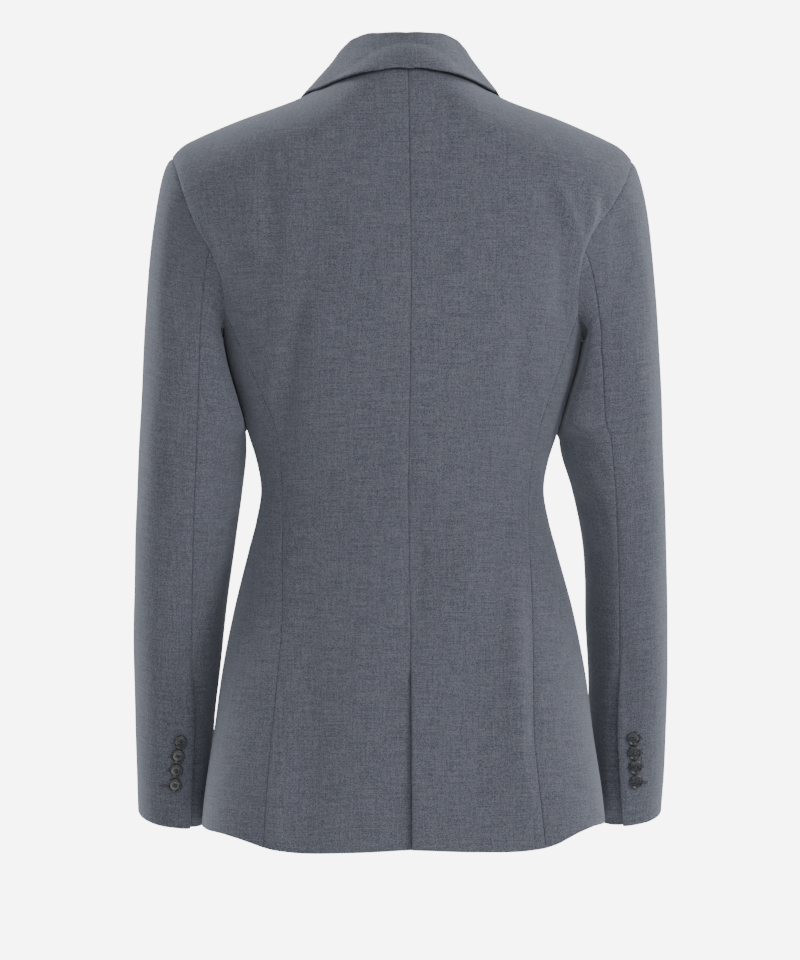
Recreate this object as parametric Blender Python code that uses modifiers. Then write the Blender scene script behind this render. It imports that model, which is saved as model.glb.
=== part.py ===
"""Single breasted blazer, filled out as worn, with nobody in it.

Metres, +Z up. The front faces -Y and the wearer's left is +X. The origin is on the neck's axis, level
with the place where the shoulder lines run under the collar. Every cloth piece is one closed wall,
and pieces that are sewn to each other stand SEAM apart.
"""

import math

import bpy
import numpy as np

# Cloth thicknesses
CLOTH = 0.0016          # back, sides and fronts, with their fusing
SLEEVE_CLOTH = 0.0015
COLLAR_CLOTH = 0.0012   # each of the collar's two layers
SEAM = 0.0003           # between sewn pieces, and between layers

# Torso
ROUND = 0.050           # how far below the shoulder line the shoulder takes to round off
RIDGE_Y = -0.005        # depth of the shoulder line
NECK_X = 0.070          # neck point, on the shoulder line
TIP_X = 0.215           # shoulder tip, where the sleeve head starts
UNDERARM_Z = -0.228     # lowest point of the armhole
JOIN_Z = -0.205         # where the side panel's seams reach the armhole

# Front
OVERLAP = 0.018         # each front past the centre line
GORGE_X, GORGE_Z = 0.051, -0.050     # where the lapel's roll line meets the collar
NOTCH_X, NOTCH_Z = 0.100, -0.066
PEAK_X, PEAK_Z = 0.130, -0.079
BREAK_Z = -0.335        # right front, on top: where its lapel starts to turn
UNDER_BREAK_X, UNDER_BREAK_Z = 0.006, -0.245  # left front, where it comes out from under the right
LAPEL_BELLY = 0.012
ROLL = 0.0015           # inside radius of a turned edge
BUTTON_Z = -0.352

# Vents
VENT_Z = -0.512         # top of the back vent
VENT_UNDERLAP = 0.035
CUFF_VENT_Z = -0.560
CUFF_UNDERLAP = 0.013
LAP = 0.0009            # air between two lapped layers
FRONT_LAP = 0.0016

# Rows and columns of the walls
ROWS_BELOW = 16         # hem to the side panel's join
ROWS_ABOVE = 8          # join to the shoulder
BACK_NECK_STEPS = 5
FRONT_NECK_STEPS = 4
SHOULDER_STEPS = 6
SIDE_STEPS = 6
LAPEL_STEPS = 6
FOLD_STEPS = 4
CAP_ROWS = 6
ARM_ROWS = 12

# Buttons
CUFF_BUTTON = 0.0130
FRONT_BUTTON = 0.0200


def table(names, *rows):
    """Columns by name; the first column, "at", rises and the others are read between its rows."""
    return {name: np.array([row[i] for row in rows], float) for i, name in enumerate(names.split())}


def read(tab, name, at):
    """A column at any place: cubics through the rows, held past the ends."""
    xs, ys = tab["at"], tab[name]
    at = np.clip(np.asarray(at, float), xs[0], xs[-1])
    slope = np.gradient(ys, xs)
    i = np.clip(np.searchsorted(xs, at, side="right") - 1, 0, len(xs) - 2)
    h = xs[i + 1] - xs[i]
    s = (at - xs[i]) / h
    return (
        (1 + 2 * s) * (1 - s) ** 2 * ys[i]
        + s * (1 - s) ** 2 * h * slope[i]
        + s * s * (3 - 2 * s) * ys[i + 1]
        + s * s * (s - 1) * h * slope[i + 1]
    )


# Height of the shoulder line, by distance from the centre. Inside the neck it only shapes the neck hole.
RIDGE = table(
    "at z",
    (-0.060, 0.0208), (-0.030, 0.0470), (0.000, 0.0580), (0.030, 0.0470), (0.050, 0.0303),
    (0.060, 0.0208), (0.070, 0.0118), (0.082, 0.0036), (0.0945, -0.0028), (0.116, -0.0112), (0.143, -0.0210),
    (0.170, -0.0320), (0.190, -0.0408), (0.205, -0.0490), (0.215, -0.0590), (0.240, -0.0900),
)

# Torso rings, by height. back and front are the depths on the centre line, middle is the depth of
# the widest point, and a higher power is squarer. Above the armhole a ring is wider than the cloth.
RINGS = table(
    "at half_width back front middle back_power front_power",
    (-0.705, 0.1885, 0.1215, -0.1060, 0.012, 2.90, 2.40),
    (-0.660, 0.1850, 0.1195, -0.1055, 0.012, 2.80, 2.40),
    (-0.590, 0.1752, 0.1160, -0.1035, 0.012, 2.60, 2.35),
    (-0.535, 0.1682, 0.1110, -0.1005, 0.011, 2.45, 2.30),
    (-0.479, 0.1575, 0.1010, -0.0985, 0.009, 2.30, 2.20),
    (-0.423, 0.1430, 0.0875, -0.0960, 0.006, 2.20, 2.15),
    (-0.395, 0.1355, 0.0815, -0.0945, 0.005, 2.15, 2.10),
    (-0.367, 0.1312, 0.0780, -0.0940, 0.005, 2.10, 2.10),
    (-0.340, 0.1355, 0.0800, -0.0990, 0.004, 2.10, 2.10),
    (-0.315, 0.1435, 0.0850, -0.1060, 0.003, 2.15, 2.10),
    (-0.283, 0.1530, 0.0930, -0.1160, 0.002, 2.20, 2.15),
    (-0.250, 0.1625, 0.1005, -0.1245, 0.000, 2.25, 2.20),
    (-0.225, 0.1675, 0.1045, -0.1290, 0.000, 2.30, 2.20),
    (-0.190, 0.1800, 0.1080, -0.1280, -0.002, 2.30, 2.20),
    (-0.150, 0.1980, 0.1075, -0.1190, -0.004, 2.30, 2.20),
    (-0.107, 0.2170, 0.1010, -0.1040, -0.006, 2.25, 2.20),
    (-0.060, 0.2350, 0.0900, -0.0850, -0.008, 2.20, 2.20),
    (0.000, 0.2500, 0.0770, -0.0620, -0.010, 2.20, 2.20),
    (0.040, 0.2500, 0.0660, -0.0470, -0.010, 2.20, 2.20),
)

# Seam between back and side panel, by height: distance from the centre on each side.
BACK_SEAM = table(
    "at left right",
    (-0.700, 0.1340, 0.1235), (-0.645, 0.1305, 0.1180), (-0.597, 0.1262, 0.1130),
    (-0.547, 0.1213, 0.1125), (-0.494, 0.1162, 0.1133), (-0.433, 0.1148, 0.1135),
    (-0.380, 0.1140, 0.1136), (-0.357, 0.1149, 0.1152), (-0.327, 0.1176, 0.1200),
    (-0.300, 0.1247, 0.1262), (-0.281, 0.1328, 0.1330), (-0.234, 0.1535, 0.1490),
    (-0.205, 0.1665, 0.1590),
)
FRONT_SEAM = table(
    "at left right",
    (-0.700, 0.1380, 0.1380), (-0.600, 0.1310, 0.1310), (-0.500, 0.1220, 0.1220),
    (-0.430, 0.1130, 0.1130), (-0.367, 0.1080, 0.1080), (-0.300, 0.1260, 0.1260),
    (-0.250, 0.1450, 0.1450), (-0.205, 0.1595, 0.1595),
)

# Armhole, from the side panel's join (0) to the shoulder tip (1).
BACK_ARMHOLE = table(
    "at z left right",
    (0.00, -0.205, 0.1665, 0.1590), (0.12, -0.190, 0.1682, 0.1585), (0.25, -0.172, 0.1715, 0.1592),
    (0.40, -0.150, 0.1798, 0.1632), (0.55, -0.128, 0.1925, 0.1735), (0.70, -0.107, 0.2010, 0.1900),
    (0.82, -0.087, 0.2075, 0.2020), (0.92, -0.070, 0.2120, 0.2105), (1.00, -0.059, 0.2150, 0.2150),
)
FRONT_ARMHOLE = table(
    "at z left right",
    (0.00, -0.205, 0.1595, 0.1595), (0.14, -0.188, 0.1605, 0.1605), (0.28, -0.170, 0.1625, 0.1625),
    (0.42, -0.150, 0.1670, 0.1670), (0.55, -0.130, 0.1745, 0.1745), (0.68, -0.110, 0.1850, 0.1850),
    (0.81, -0.090, 0.1970, 0.1970), (0.92, -0.0705, 0.2095, 0.2095), (1.00, -0.059, 0.2150, 0.2150),
)
BACK_STATIONS = np.array([0.0, 0.14, 0.28, 0.42, 0.53, 0.66, 0.80, 0.92, 1.0])
FRONT_STATIONS = np.array([0.0, 0.14, 0.28, 0.42, 0.55, 0.68, 0.81, 0.92, 1.0])
BACK_SEAM_AT = 3        # the sleeve's back seam starts at this back station
FRONT_SEAM_AT = 2

# Neckline, by distance from the centre.
BACK_NECK = table(
    "at z", (-0.030, 0.0240), (0.000, 0.0260), (0.030, 0.0240), (0.045, 0.0207), (0.060, 0.0150), (0.070, 0.0115)
)
FRONT_NECK = table(
    "at x z",
    (0, GORGE_X, GORGE_Z), (1, 0.0565, -0.0310), (2, 0.0628, -0.0135), (3, 0.0677, 0.0020), (4, 0.0700, 0.0115),
)

# Hem height, by angle round the body from the centre back.
HEM = table(
    "at left right",
    (0, -0.6908, -0.6908), (18, -0.6932, -0.6932), (32, -0.6930, -0.6926), (39, -0.6898, -0.6892),
    (46, -0.6838, -0.6808), (54, -0.6795, -0.6752), (68, -0.6775, -0.6738), (90, -0.6770, -0.6745),
    (120, -0.6800, -0.6790), (150, -0.6870, -0.6870), (180, -0.6900, -0.6900),
)

# Sleeve rings, by height of the middle. outer and inner are distances from the centre, seam is where
# the back seam runs, and slope is how far the ring drops for each metre towards the back.
ARM = table(
    "at outer_left outer_right inner_left inner_right seam_left seam_right middle half_depth slope",
    (-0.6710, 0.2455, 0.2495, 0.1780, 0.1825, 0.1980, 0.2080, -0.057, 0.0475, 0.22),
    (-0.6300, 0.2470, 0.2515, 0.1762, 0.1815, 0.1962, 0.2045, -0.051, 0.0480, 0.21),
    (-0.5770, 0.2483, 0.2525, 0.1735, 0.1800, 0.1945, 0.2012, -0.043, 0.0492, 0.20),
    (-0.5350, 0.2493, 0.2525, 0.1689, 0.1783, 0.1950, 0.2010, -0.036, 0.0505, 0.19),
    (-0.4930, 0.2496, 0.2518, 0.1642, 0.1755, 0.1958, 0.2002, -0.029, 0.0520, 0.17),
    (-0.4510, 0.2490, 0.2500, 0.1596, 0.1736, 0.1957, 0.1987, -0.022, 0.0535, 0.13),
    (-0.4090, 0.2480, 0.2482, 0.1540, 0.1692, 0.1952, 0.1962, -0.015, 0.0550, 0.09),
    (-0.3670, 0.2461, 0.2461, 0.1484, 0.1600, 0.1940, 0.1935, -0.010, 0.0570, 0.05),
    (-0.3255, 0.2443, 0.2443, 0.1447, 0.1483, 0.1924, 0.1895, -0.007, 0.0590, 0.03),
    (-0.2855, 0.2427, 0.2427, 0.1500, 0.1500, 0.1910, 0.1855, -0.006, 0.0600, 0.02),
)
ARM_POWER = 2.15
FRONT_ARM_SEAM = 238.0  # degrees round the sleeve from its outer side, by way of the back
CLEAR = 0.0012          # sleeve to body
CUFF_TILT = 0.085       # how much lower the cuff is on its inner side, for each metre across

# Collar, by neckline stop from the centre back (0) round the neck point (5) to the gorge (9).
# stand is the height of the inside, lean how far it tips outwards, x and z where the fall ends,
# side whether that is over the back (1) or the front (-1), lift how far it stands off the body.
COLLAR = table(
    "at stand lean x z side lift",
    (0, 0.0264, 4, 0.0000, 0.0178, 1, 0.0040),
    (1, 0.0282, 8, 0.0270, 0.0152, 1, 0.0040),
    (2, 0.0318, 13, 0.0505, 0.0094, 1, 0.0038),
    (3, 0.0312, 18, 0.0670, 0.0046, 1, 0.0034),
    (4, 0.0246, 22, 0.0800, 0.0014, 1, 0.0032),
    (5, 0.0204, 23, 0.0895, -0.0030, -1, 0.0032),
    (6, 0.0170, 23, 0.0995, -0.0140, -1, 0.0034),
    (7, 0.0135, 20, 0.1095, -0.0295, -1, 0.0034),
    (8, 0.0080, 12, 0.1165, -0.0480, -1, 0.0036),
    (9, 0.0006, 0, NOTCH_X, NOTCH_Z, -1, 0.0030),
)
COLLAR_STOPS = np.array([0, 1, 2, 2.6, 3.2, 3.7, 4.1, 4.4, 4.7, 5, 5.3, 5.7, 6.2, 7, 8, 9])
LEAST_LIFT = 0.0026     # the leaf's middle off the shoulder
STAND_STEPS = 3
FALL_STEPS = 5

# Cuff buttons, by number from the top: distance from the centre and height on each sleeve.
CUFF_BUTTONS = table(
    "at left_x left_z right_x right_z",
    (1, 0.2065, -0.6005, 0.2160, -0.5990),
    (2, 0.2090, -0.6139, 0.2168, -0.6126),
    (3, 0.2105, -0.6274, 0.2178, -0.6262),
    (4, 0.2115, -0.6412, 0.2188, -0.6400),
)


def unit(v):
    return v / np.linalg.norm(v, axis=-1, keepdims=True)


def ease(low, high, at):
    """0 below low, 1 above high, smooth between."""
    s = np.clip((np.asarray(at, float) - low) / (high - low), 0, 1)
    return s * s * (3 - 2 * s)


# ---- The torso's form

def height_of(x, w):
    """Height of a point w along the cloth from the shoulder line."""
    turn = np.clip(np.abs(w) / ROUND, 0, math.pi / 2)
    past = np.maximum(np.abs(w) - ROUND * math.pi / 2, 0)
    return read(RIDGE, "z", x) - ROUND * (1 - np.cos(turn)) - past


def along(x, z, side):
    """The w that reaches height z, over the back (1) or the front (-1)."""
    deep = np.maximum(read(RIDGE, "z", x) - z, 0)
    turned = ROUND * np.arccos(np.clip(1 - deep / ROUND, 0, 1))
    return side * np.where(deep < ROUND, turned, ROUND * math.pi / 2 + deep - ROUND)


def torso(x, w):
    """A point of the torso's outside, x from the centre line and w along the cloth."""
    x, w = np.broadcast_arrays(np.asarray(x, float), np.asarray(w, float))
    z = height_of(x, w)
    back = w >= 0
    middle = read(RINGS, "middle", z)
    reach = np.where(back, read(RINGS, "back", z) - middle, middle - read(RINGS, "front", z))
    power = np.where(back, read(RINGS, "back_power", z), read(RINGS, "front_power", z))
    across = np.clip(np.abs(x) / read(RINGS, "half_width", z), 0, 0.99999)
    oval = middle + np.where(back, 1, -1) * reach * (1 - across**power) ** (1 / power)
    turn = np.abs(np.sin(np.clip(w / ROUND, -math.pi / 2, math.pi / 2)))
    return np.stack([x, RIDGE_Y + (oval - RIDGE_Y) * turn, z], axis=-1)


def torso_normal(x, w):
    d = 2e-4
    return unit(np.cross(torso(x + d, w) - torso(x - d, w), torso(x, w + d) - torso(x, w - d)))


def ring(angle, z):
    """A point of the torso's outside by its angle round from the centre back, in radians."""
    angle, z = np.broadcast_arrays(np.asarray(angle, float), np.asarray(z, float))
    back = angle < math.pi / 2
    power = np.where(back, read(RINGS, "back_power", z), read(RINGS, "front_power", z))
    s, c = np.abs(np.sin(angle)), np.abs(np.cos(angle))
    size = (s**power + c**power) ** (-1 / power)
    middle = read(RINGS, "middle", z)
    reach = np.where(back, read(RINGS, "back", z) - middle, middle - read(RINGS, "front", z))
    x = read(RINGS, "half_width", z) * s * size
    return np.stack([x, middle + np.where(back, 1, -1) * reach * c * size, z], axis=-1)


def ring_normal(angle, z):
    d = 1e-3
    return unit(np.cross(ring(angle, z + d) - ring(angle, z - d), ring(angle + d, z) - ring(angle - d, z)))


def ring_angle(x, z, side):
    """Where a distance from the centre lies round the ring, over the back (1) or the front (-1)."""
    power = read(RINGS, "back_power" if side > 0 else "front_power", z)
    t = x / read(RINGS, "half_width", z)
    angle = np.arctan2(t, (1 - t**power) ** (1 / power))
    return angle if side > 0 else math.pi - angle


def lift_clear(places, gap):
    """Moves places that come nearer than a gap to the shoulder's outside straight out to it."""
    x, y, z = places[..., 0], places[..., 1], places[..., 2]
    ridge = read(RIDGE, "z", x)
    foot = torso(np.abs(x), np.where(y > RIDGE_Y, 1, -1) * ROUND * math.pi / 2)[..., 1] - RIDGE_Y
    ahead, up = (y - RIDGE_Y) / foot, 1 - (ridge - z) / ROUND
    from_middle = np.hypot(ahead, up)
    least = 1 + gap / ROUND
    grow = np.where(up > 0, np.maximum(least / from_middle, 1), 1)
    return np.stack([x, RIDGE_Y + ahead * grow * foot, ridge - ROUND * (1 - up * grow)], -1)


def torso_half_width(y, z):
    """The torso's distance from the centre at a depth and height."""
    middle = read(RINGS, "middle", z)
    back = y >= middle
    reach = np.where(back, read(RINGS, "back", z) - middle, middle - read(RINGS, "front", z))
    power = np.where(back, read(RINGS, "back_power", z), read(RINGS, "front_power", z))
    t = np.clip(np.abs(y - middle) / reach, 0, 1)
    return read(RINGS, "half_width", z) * (1 - t**power) ** (1 / power)


# ---- Walls

def patch(bottom, top, left, right):
    """Rows and columns between four edges that meet at their ends."""
    u = np.linspace(0, 1, len(bottom))[None, :, None]
    v = np.linspace(0, 1, len(left))[:, None, None]
    bottom, top, left, right = bottom[None], top[None], left[:, None], right[:, None]
    corners = (
        (1 - u) * (1 - v) * bottom[:, :1] + u * (1 - v) * bottom[:, -1:]
        + (1 - u) * v * top[:, :1] + u * v * top[:, -1:]
    )
    return (1 - v) * bottom + v * top + (1 - u) * left + u * right - corners


class Sheet:
    """Points of a cloth's face, with the way out of the cloth at each, in joined grids."""

    def __init__(self):
        self.points, self.outs, self.faces, self.keys = [], [], [], {}

    def point(self, place, out):
        key = tuple(np.round(place * 1e6).astype(int))
        if key not in self.keys:
            self.keys[key] = len(self.points)
            self.points.append(place)
            self.outs.append(out)
        return self.keys[key]

    def grid(self, places, outs):
        """Joins a grid on, all its faces wound so that they look out of the cloth."""
        across = places[:-1, 1:] - places[1:, :-1]
        upward = places[1:, 1:] - places[:-1, :-1]
        looks = (np.cross(across, upward) * (outs[:-1, :-1] + outs[1:, 1:])).sum() > 0
        rows, columns = places.shape[:2]
        at = [[self.point(places[r, c], outs[r, c]) for c in range(columns)] for r in range(rows)]
        for r in range(rows - 1):
            for c in range(columns - 1):
                loop = [at[r][c], at[r][c + 1], at[r + 1][c + 1], at[r + 1][c]]
                loop = [p for i, p in enumerate(loop) if p != loop[i - 1]]
                loop = loop if looks else loop[::-1]
                if len(loop) == 4:
                    a, b, c, d = (self.points[i] for i in loop)
                    if np.linalg.norm(a - c) > np.linalg.norm(b - d):
                        loop = loop[1:] + loop[:1]
                    self.faces.append([loop[0], loop[2], loop[3]])
                if len(loop) > 2:
                    self.faces.append(loop[:3])

    def edges(self):
        """The open edges, each once, in its face's direction."""
        sides = {(f[i - 1], f[i]) for f in self.faces for i in range(len(f))}
        return [(a, b) for a, b in sides if (b, a) not in sides]

    def draw_back(self, gap):
        """Moves the open edges into the sheet by a gap, along the cloth."""
        inward = {}
        for a, b in self.edges():
            for i in (a, b):
                side = unit(np.cross(self.outs[i], self.points[b] - self.points[a]))
                inward.setdefault(i, []).append(side)
        for i, (first, second) in inward.items():
            self.points[i] = self.points[i] + gap * (first + second) / max(1 + first @ second, 0.4)


def solid(name, sheet, outer, inner, mirror=1.0, colour=(0.10, 0.11, 0.13)):
    """A closed wall between two levels of a sheet."""
    points, outs = np.array(sheet.points), np.array(sheet.outs)
    count = len(points)
    verts = np.concatenate([points + outs * outer, points + outs * inner])
    verts[:, 0] *= mirror
    faces = list(sheet.faces) + [[i + count for i in f[::-1]] for f in sheet.faces]
    faces += [[b, a, a + count, b + count] for a, b in sheet.edges()]
    if mirror < 0:
        faces = [f[::-1] for f in faces]
    mesh = bpy.data.meshes.new(name)
    mesh.from_pydata([tuple(v) for v in verts], [], faces)
    mesh.update()
    return place(name, mesh, colour)


def place(name, mesh, colour):
    obj = bpy.data.objects.new(name, mesh)
    blazer.objects.link(obj)
    look = bpy.data.materials.new(name)
    look.use_nodes = True
    shader = look.node_tree.nodes["Principled BSDF"]
    shader.inputs["Base Color"].default_value = (*colour, 1)
    shader.inputs["Roughness"].default_value = 0.85
    mesh.materials.clear()
    mesh.materials.append(look)
    return obj


# ---- Cut of the body

def rows_between(low, high, count):
    return np.linspace(low, high, count + 1)


def hem_at(x, hand, side):
    """Hem height at a distance from the centre, over the back or the front."""
    z = np.full(np.shape(x), -0.688)
    for _ in range(3):
        z = read(HEM, hand, np.degrees(ring_angle(np.abs(x), z, side)))
    return z


def neck_line(stops):
    """x of the back neckline at stops from its centre, closer where it turns to the neck point."""
    return NECK_X * np.sin(np.radians(90 * stops / BACK_NECK_STEPS))


def shoulder_line():
    return np.stack([rows_between(NECK_X, TIP_X, SHOULDER_STEPS), np.zeros(SHOULDER_STEPS + 1)], -1)


def seam_rows(seam, hand, side):
    """Heights and distances down a side panel's seam, hem first."""
    foot = -0.688
    for _ in range(4):
        foot = float(hem_at(read(seam, hand, foot), hand, side))
    z = rows_between(foot, JOIN_Z, ROWS_BELOW)
    return z, read(seam, hand, z)


def armhole(tab, hand, stations, side):
    """Points of an armhole edge in x and w, from the join up to the tip."""
    x, z = read(tab, hand, stations), read(tab, "z", stations)
    w = along(x, z, side)
    w[-1] = 0.0
    return np.stack([x, w], -1)


def back_sheet(hand):
    z, x = seam_rows(BACK_SEAM, hand, 1)
    right = np.concatenate([
        np.stack([x, along(x, z, 1)], -1),
        armhole(BACK_ARMHOLE, hand, BACK_STATIONS, 1)[1:],
    ])
    neck_x = neck_line(np.arange(BACK_NECK_STEPS + 1))
    neck = np.stack([neck_x, along(neck_x, read(BACK_NECK, "z", neck_x), 1)], -1)
    neck[-1, 1] = 0.0
    top = np.concatenate([neck, shoulder_line()[1:]])
    hem_x = rows_between(0, x[0], BACK_NECK_STEPS + SHOULDER_STEPS)
    bottom = np.stack([hem_x, along(hem_x, hem_at(hem_x, hand, 1), 1)], -1)
    centre_z = np.concatenate([
        rows_between(float(hem_at(0.0, hand, 1)), JOIN_Z, ROWS_BELOW),
        rows_between(JOIN_Z, float(read(BACK_NECK, "z", 0.0)), ROWS_ABOVE)[1:],
    ])
    left = np.stack([np.zeros(len(centre_z)), along(np.zeros(len(centre_z)), centre_z, 1)], -1)
    cut = patch(bottom, top, left, right)
    places, outs = torso(cut[..., 0], cut[..., 1]), torso_normal(cut[..., 0], cut[..., 1])
    sheet = Sheet()
    if hand == "left":
        # Below the vent's top the left half dips under the right one and runs on past the centre.
        dip = CLOTH + LAP
        def dipped(x, w):
            near = 1 - ease(0.004, 0.030, np.abs(np.maximum(x, 0)))
            depth = dip * near * ease(-VENT_Z, -VENT_Z + 0.030, -height_of(x, w))
            return torso(x, w) - torso_normal(x, w) * depth[..., None]
        places = dipped(cut[..., 0], cut[..., 1])
        sheet.grid(places, outs)
        low = [r for r in range(len(centre_z)) if centre_z[r] < VENT_Z - 0.020]
        past = rows_between(0, -VENT_UNDERLAP, 3)
        w = left[low, 1][:, None] + 0 * past[None, :]
        w = w + (height_of(past, w) - height_of(0 * past, w))
        x = past[None, :] + 0 * w
        under = torso(x, w) - torso_normal(x, w) * dip
        under[:, 0] = places[low, 0]
        sheet.grid(under, torso_normal(x, w))
    else:
        sheet.grid(places, outs)
    sheet.draw_back(SEAM / 2)
    return sheet


def side_sheet(hand):
    z_back, x_back = seam_rows(BACK_SEAM, hand, 1)
    z_front, x_front = seam_rows(FRONT_SEAM, hand, -1)
    left = np.stack([ring_angle(x_back, z_back, 1), z_back], -1)
    right = np.stack([ring_angle(x_front, z_front, -1), z_front], -1)
    top = underarm(hand)
    turn = rows_between(left[0, 0], right[0, 0], SIDE_STEPS)
    bottom = np.stack([turn, read(HEM, hand, np.degrees(turn))], -1)
    bottom[0], bottom[-1] = left[0], right[0]
    cut = patch(bottom, top, left, right)
    sheet = Sheet()
    sheet.grid(ring(cut[..., 0], cut[..., 1]), ring_normal(cut[..., 0], cut[..., 1]))
    sheet.draw_back(SEAM / 2)
    return sheet


def underarm(hand):
    """The armhole's foot, as angle and height, from the back join to the front join."""
    first = ring_angle(read(BACK_SEAM, hand, JOIN_Z), JOIN_Z, 1)
    last = ring_angle(read(FRONT_SEAM, hand, JOIN_Z), JOIN_Z, -1)
    t = rows_between(-1, 1, SIDE_STEPS)
    return np.stack([first + (last - first) * (t + 1) / 2, UNDERARM_Z + (JOIN_Z - UNDERARM_Z) * t * t], -1)


def front_edge(hand):
    """x and z of the front edge and roll line, hem first, and the row where the lapel starts."""
    corner = np.array([-OVERLAP + 0.044, float(hem_at(0.026, hand, -1))])
    z = rows_between(corner[1], BREAK_Z, 12)
    if hand == "right":
        break_row, turn_x, turn_z, straight_top = 12, -OVERLAP, BREAK_Z, BREAK_Z
    else:
        break_row, turn_x, turn_z, straight_top = 16, UNDER_BREAK_X, UNDER_BREAK_Z, -0.360
        z = np.concatenate([z, rows_between(BREAK_Z, turn_z, 4)[1:]])
    z = np.concatenate([z, rows_between(turn_z, GORGE_Z, ROWS_BELOW + ROWS_ABOVE - break_row)[1:]])
    cut_away = -OVERLAP + 0.044 * (1 - np.sqrt(1 - np.clip((-0.500 - z) / (-0.500 - corner[1]), 0, 1) ** 2))
    slant = np.interp(z, [straight_top, turn_z + 1e-9, GORGE_Z], [-OVERLAP, turn_x, GORGE_X])
    x = np.where(z < straight_top, cut_away, slant)
    return np.stack([x, z], -1), break_row


def front_dip(hand, x, w):
    """How far the left front lies in, to pass under the right one."""
    if hand == "right":
        return np.zeros(np.shape(x))
    near = 1 - ease(OVERLAP + 0.016, 0.085, x)
    return (CLOTH + FRONT_LAP) * near * (1 - ease(UNDER_BREAK_Z - 0.02, UNDER_BREAK_Z + 0.05, height_of(x, w)))


def front_sheet(hand):
    z, x = seam_rows(FRONT_SEAM, hand, -1)
    right = np.concatenate([
        np.stack([x, along(x, z, -1)], -1),
        armhole(FRONT_ARMHOLE, hand, FRONT_STATIONS, -1)[1:],
    ])
    edge, break_row = front_edge(hand)
    left = np.stack([edge[:, 0], along(edge[:, 0], edge[:, 1], -1)], -1)
    stops = np.arange(FRONT_NECK_STEPS + 1)
    neck_x = read(FRONT_NECK, "x", stops)
    neck = np.stack([neck_x, along(neck_x, read(FRONT_NECK, "z", stops), -1)], -1)
    neck[-1, 1] = 0.0
    neck[0] = left[-1]
    top = np.concatenate([neck, shoulder_line()[1:]])
    hem_x = rows_between(edge[0, 0], x[0], FRONT_NECK_STEPS + SHOULDER_STEPS)
    bottom = np.stack([hem_x, along(hem_x, hem_at(hem_x, hand, -1), -1)], -1)
    bottom[0], bottom[-1] = left[0], right[0]
    cut = patch(bottom, top, left, right)

    def chest(x, w):
        return torso(x, w) - torso_normal(x, w) * front_dip(hand, x, w)[..., None]

    sheet = Sheet()
    sheet.grid(chest(cut[..., 0], cut[..., 1]), torso_normal(cut[..., 0], cut[..., 1]))

    # The lapel: round the roll line, then back over the chest to its outer edge.
    roll = left[break_row:]
    count = len(roll)
    base, out = chest(roll[:, 0], roll[:, 1]), torso_normal(roll[:, 0], roll[:, 1])
    run = unit(np.gradient(base, axis=0))
    ahead = unit(np.cross(run, out))
    ahead = np.where((ahead[:, :1] > 0), -ahead, ahead)
    turns = np.linspace(0, math.pi, FOLD_STEPS + 1)
    fold = np.stack([base + ROLL * (out - math.cos(t) * out + math.sin(t) * ahead) for t in turns], 1)
    fold_out = np.stack([math.cos(t) * out - math.sin(t) * ahead for t in turns], 1)
    fold[0] = base[0]
    sheet.grid(fold, fold_out)

    along_roll = np.linspace(0, 1, count)
    start = np.array([edge[break_row, 0], edge[break_row, 1]])
    peak = np.array([PEAK_X, PEAK_Z])
    rim = start + (peak - start) * along_roll[:, None]
    rim[:, 0] += LAPEL_BELLY * np.sin(math.pi * along_roll)
    half = LAPEL_STEPS // 2
    gorge = np.array([GORGE_X, GORGE_Z])
    notch = np.array([NOTCH_X, NOTCH_Z])
    t = np.linspace(0, 1, half + 1)[:, None]
    upper = np.concatenate([gorge + (notch - gorge) * t, notch + (peak - notch) * t[1:]])
    flat = patch(np.repeat(start[None], LAPEL_STEPS + 1, 0), upper, edge[break_row:], rim)
    fx, fw = flat[..., 0], along(flat[..., 0], flat[..., 1], -1)
    level = np.linspace(2 * ROLL, 0.0018, LAPEL_STEPS + 1)[None, :, None]
    normal = torso_normal(fx, fw)
    lapel = chest(fx, fw) + normal * level
    lapel[:, 0] = fold[:, -1]
    lapel[0] = base[0]
    sheet.grid(lapel, -normal)
    sheet.draw_back(SEAM / 2)
    return sheet


# ---- Collar

def neck_points(stops):
    """x and w of the neckline at collar stops, from the centre back to the gorge."""
    front = FRONT_NECK_STEPS - np.maximum(stops - BACK_NECK_STEPS, 0)
    x = np.where(stops < BACK_NECK_STEPS, neck_line(stops), read(FRONT_NECK, "x", front))
    over_back = along(x, read(BACK_NECK, "z", x), 1)
    over_front = along(x, read(FRONT_NECK, "z", front), -1)
    w = np.where(stops < BACK_NECK_STEPS, over_back, over_front)
    return x, np.where(stops == BACK_NECK_STEPS, 0.0, w)


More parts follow.
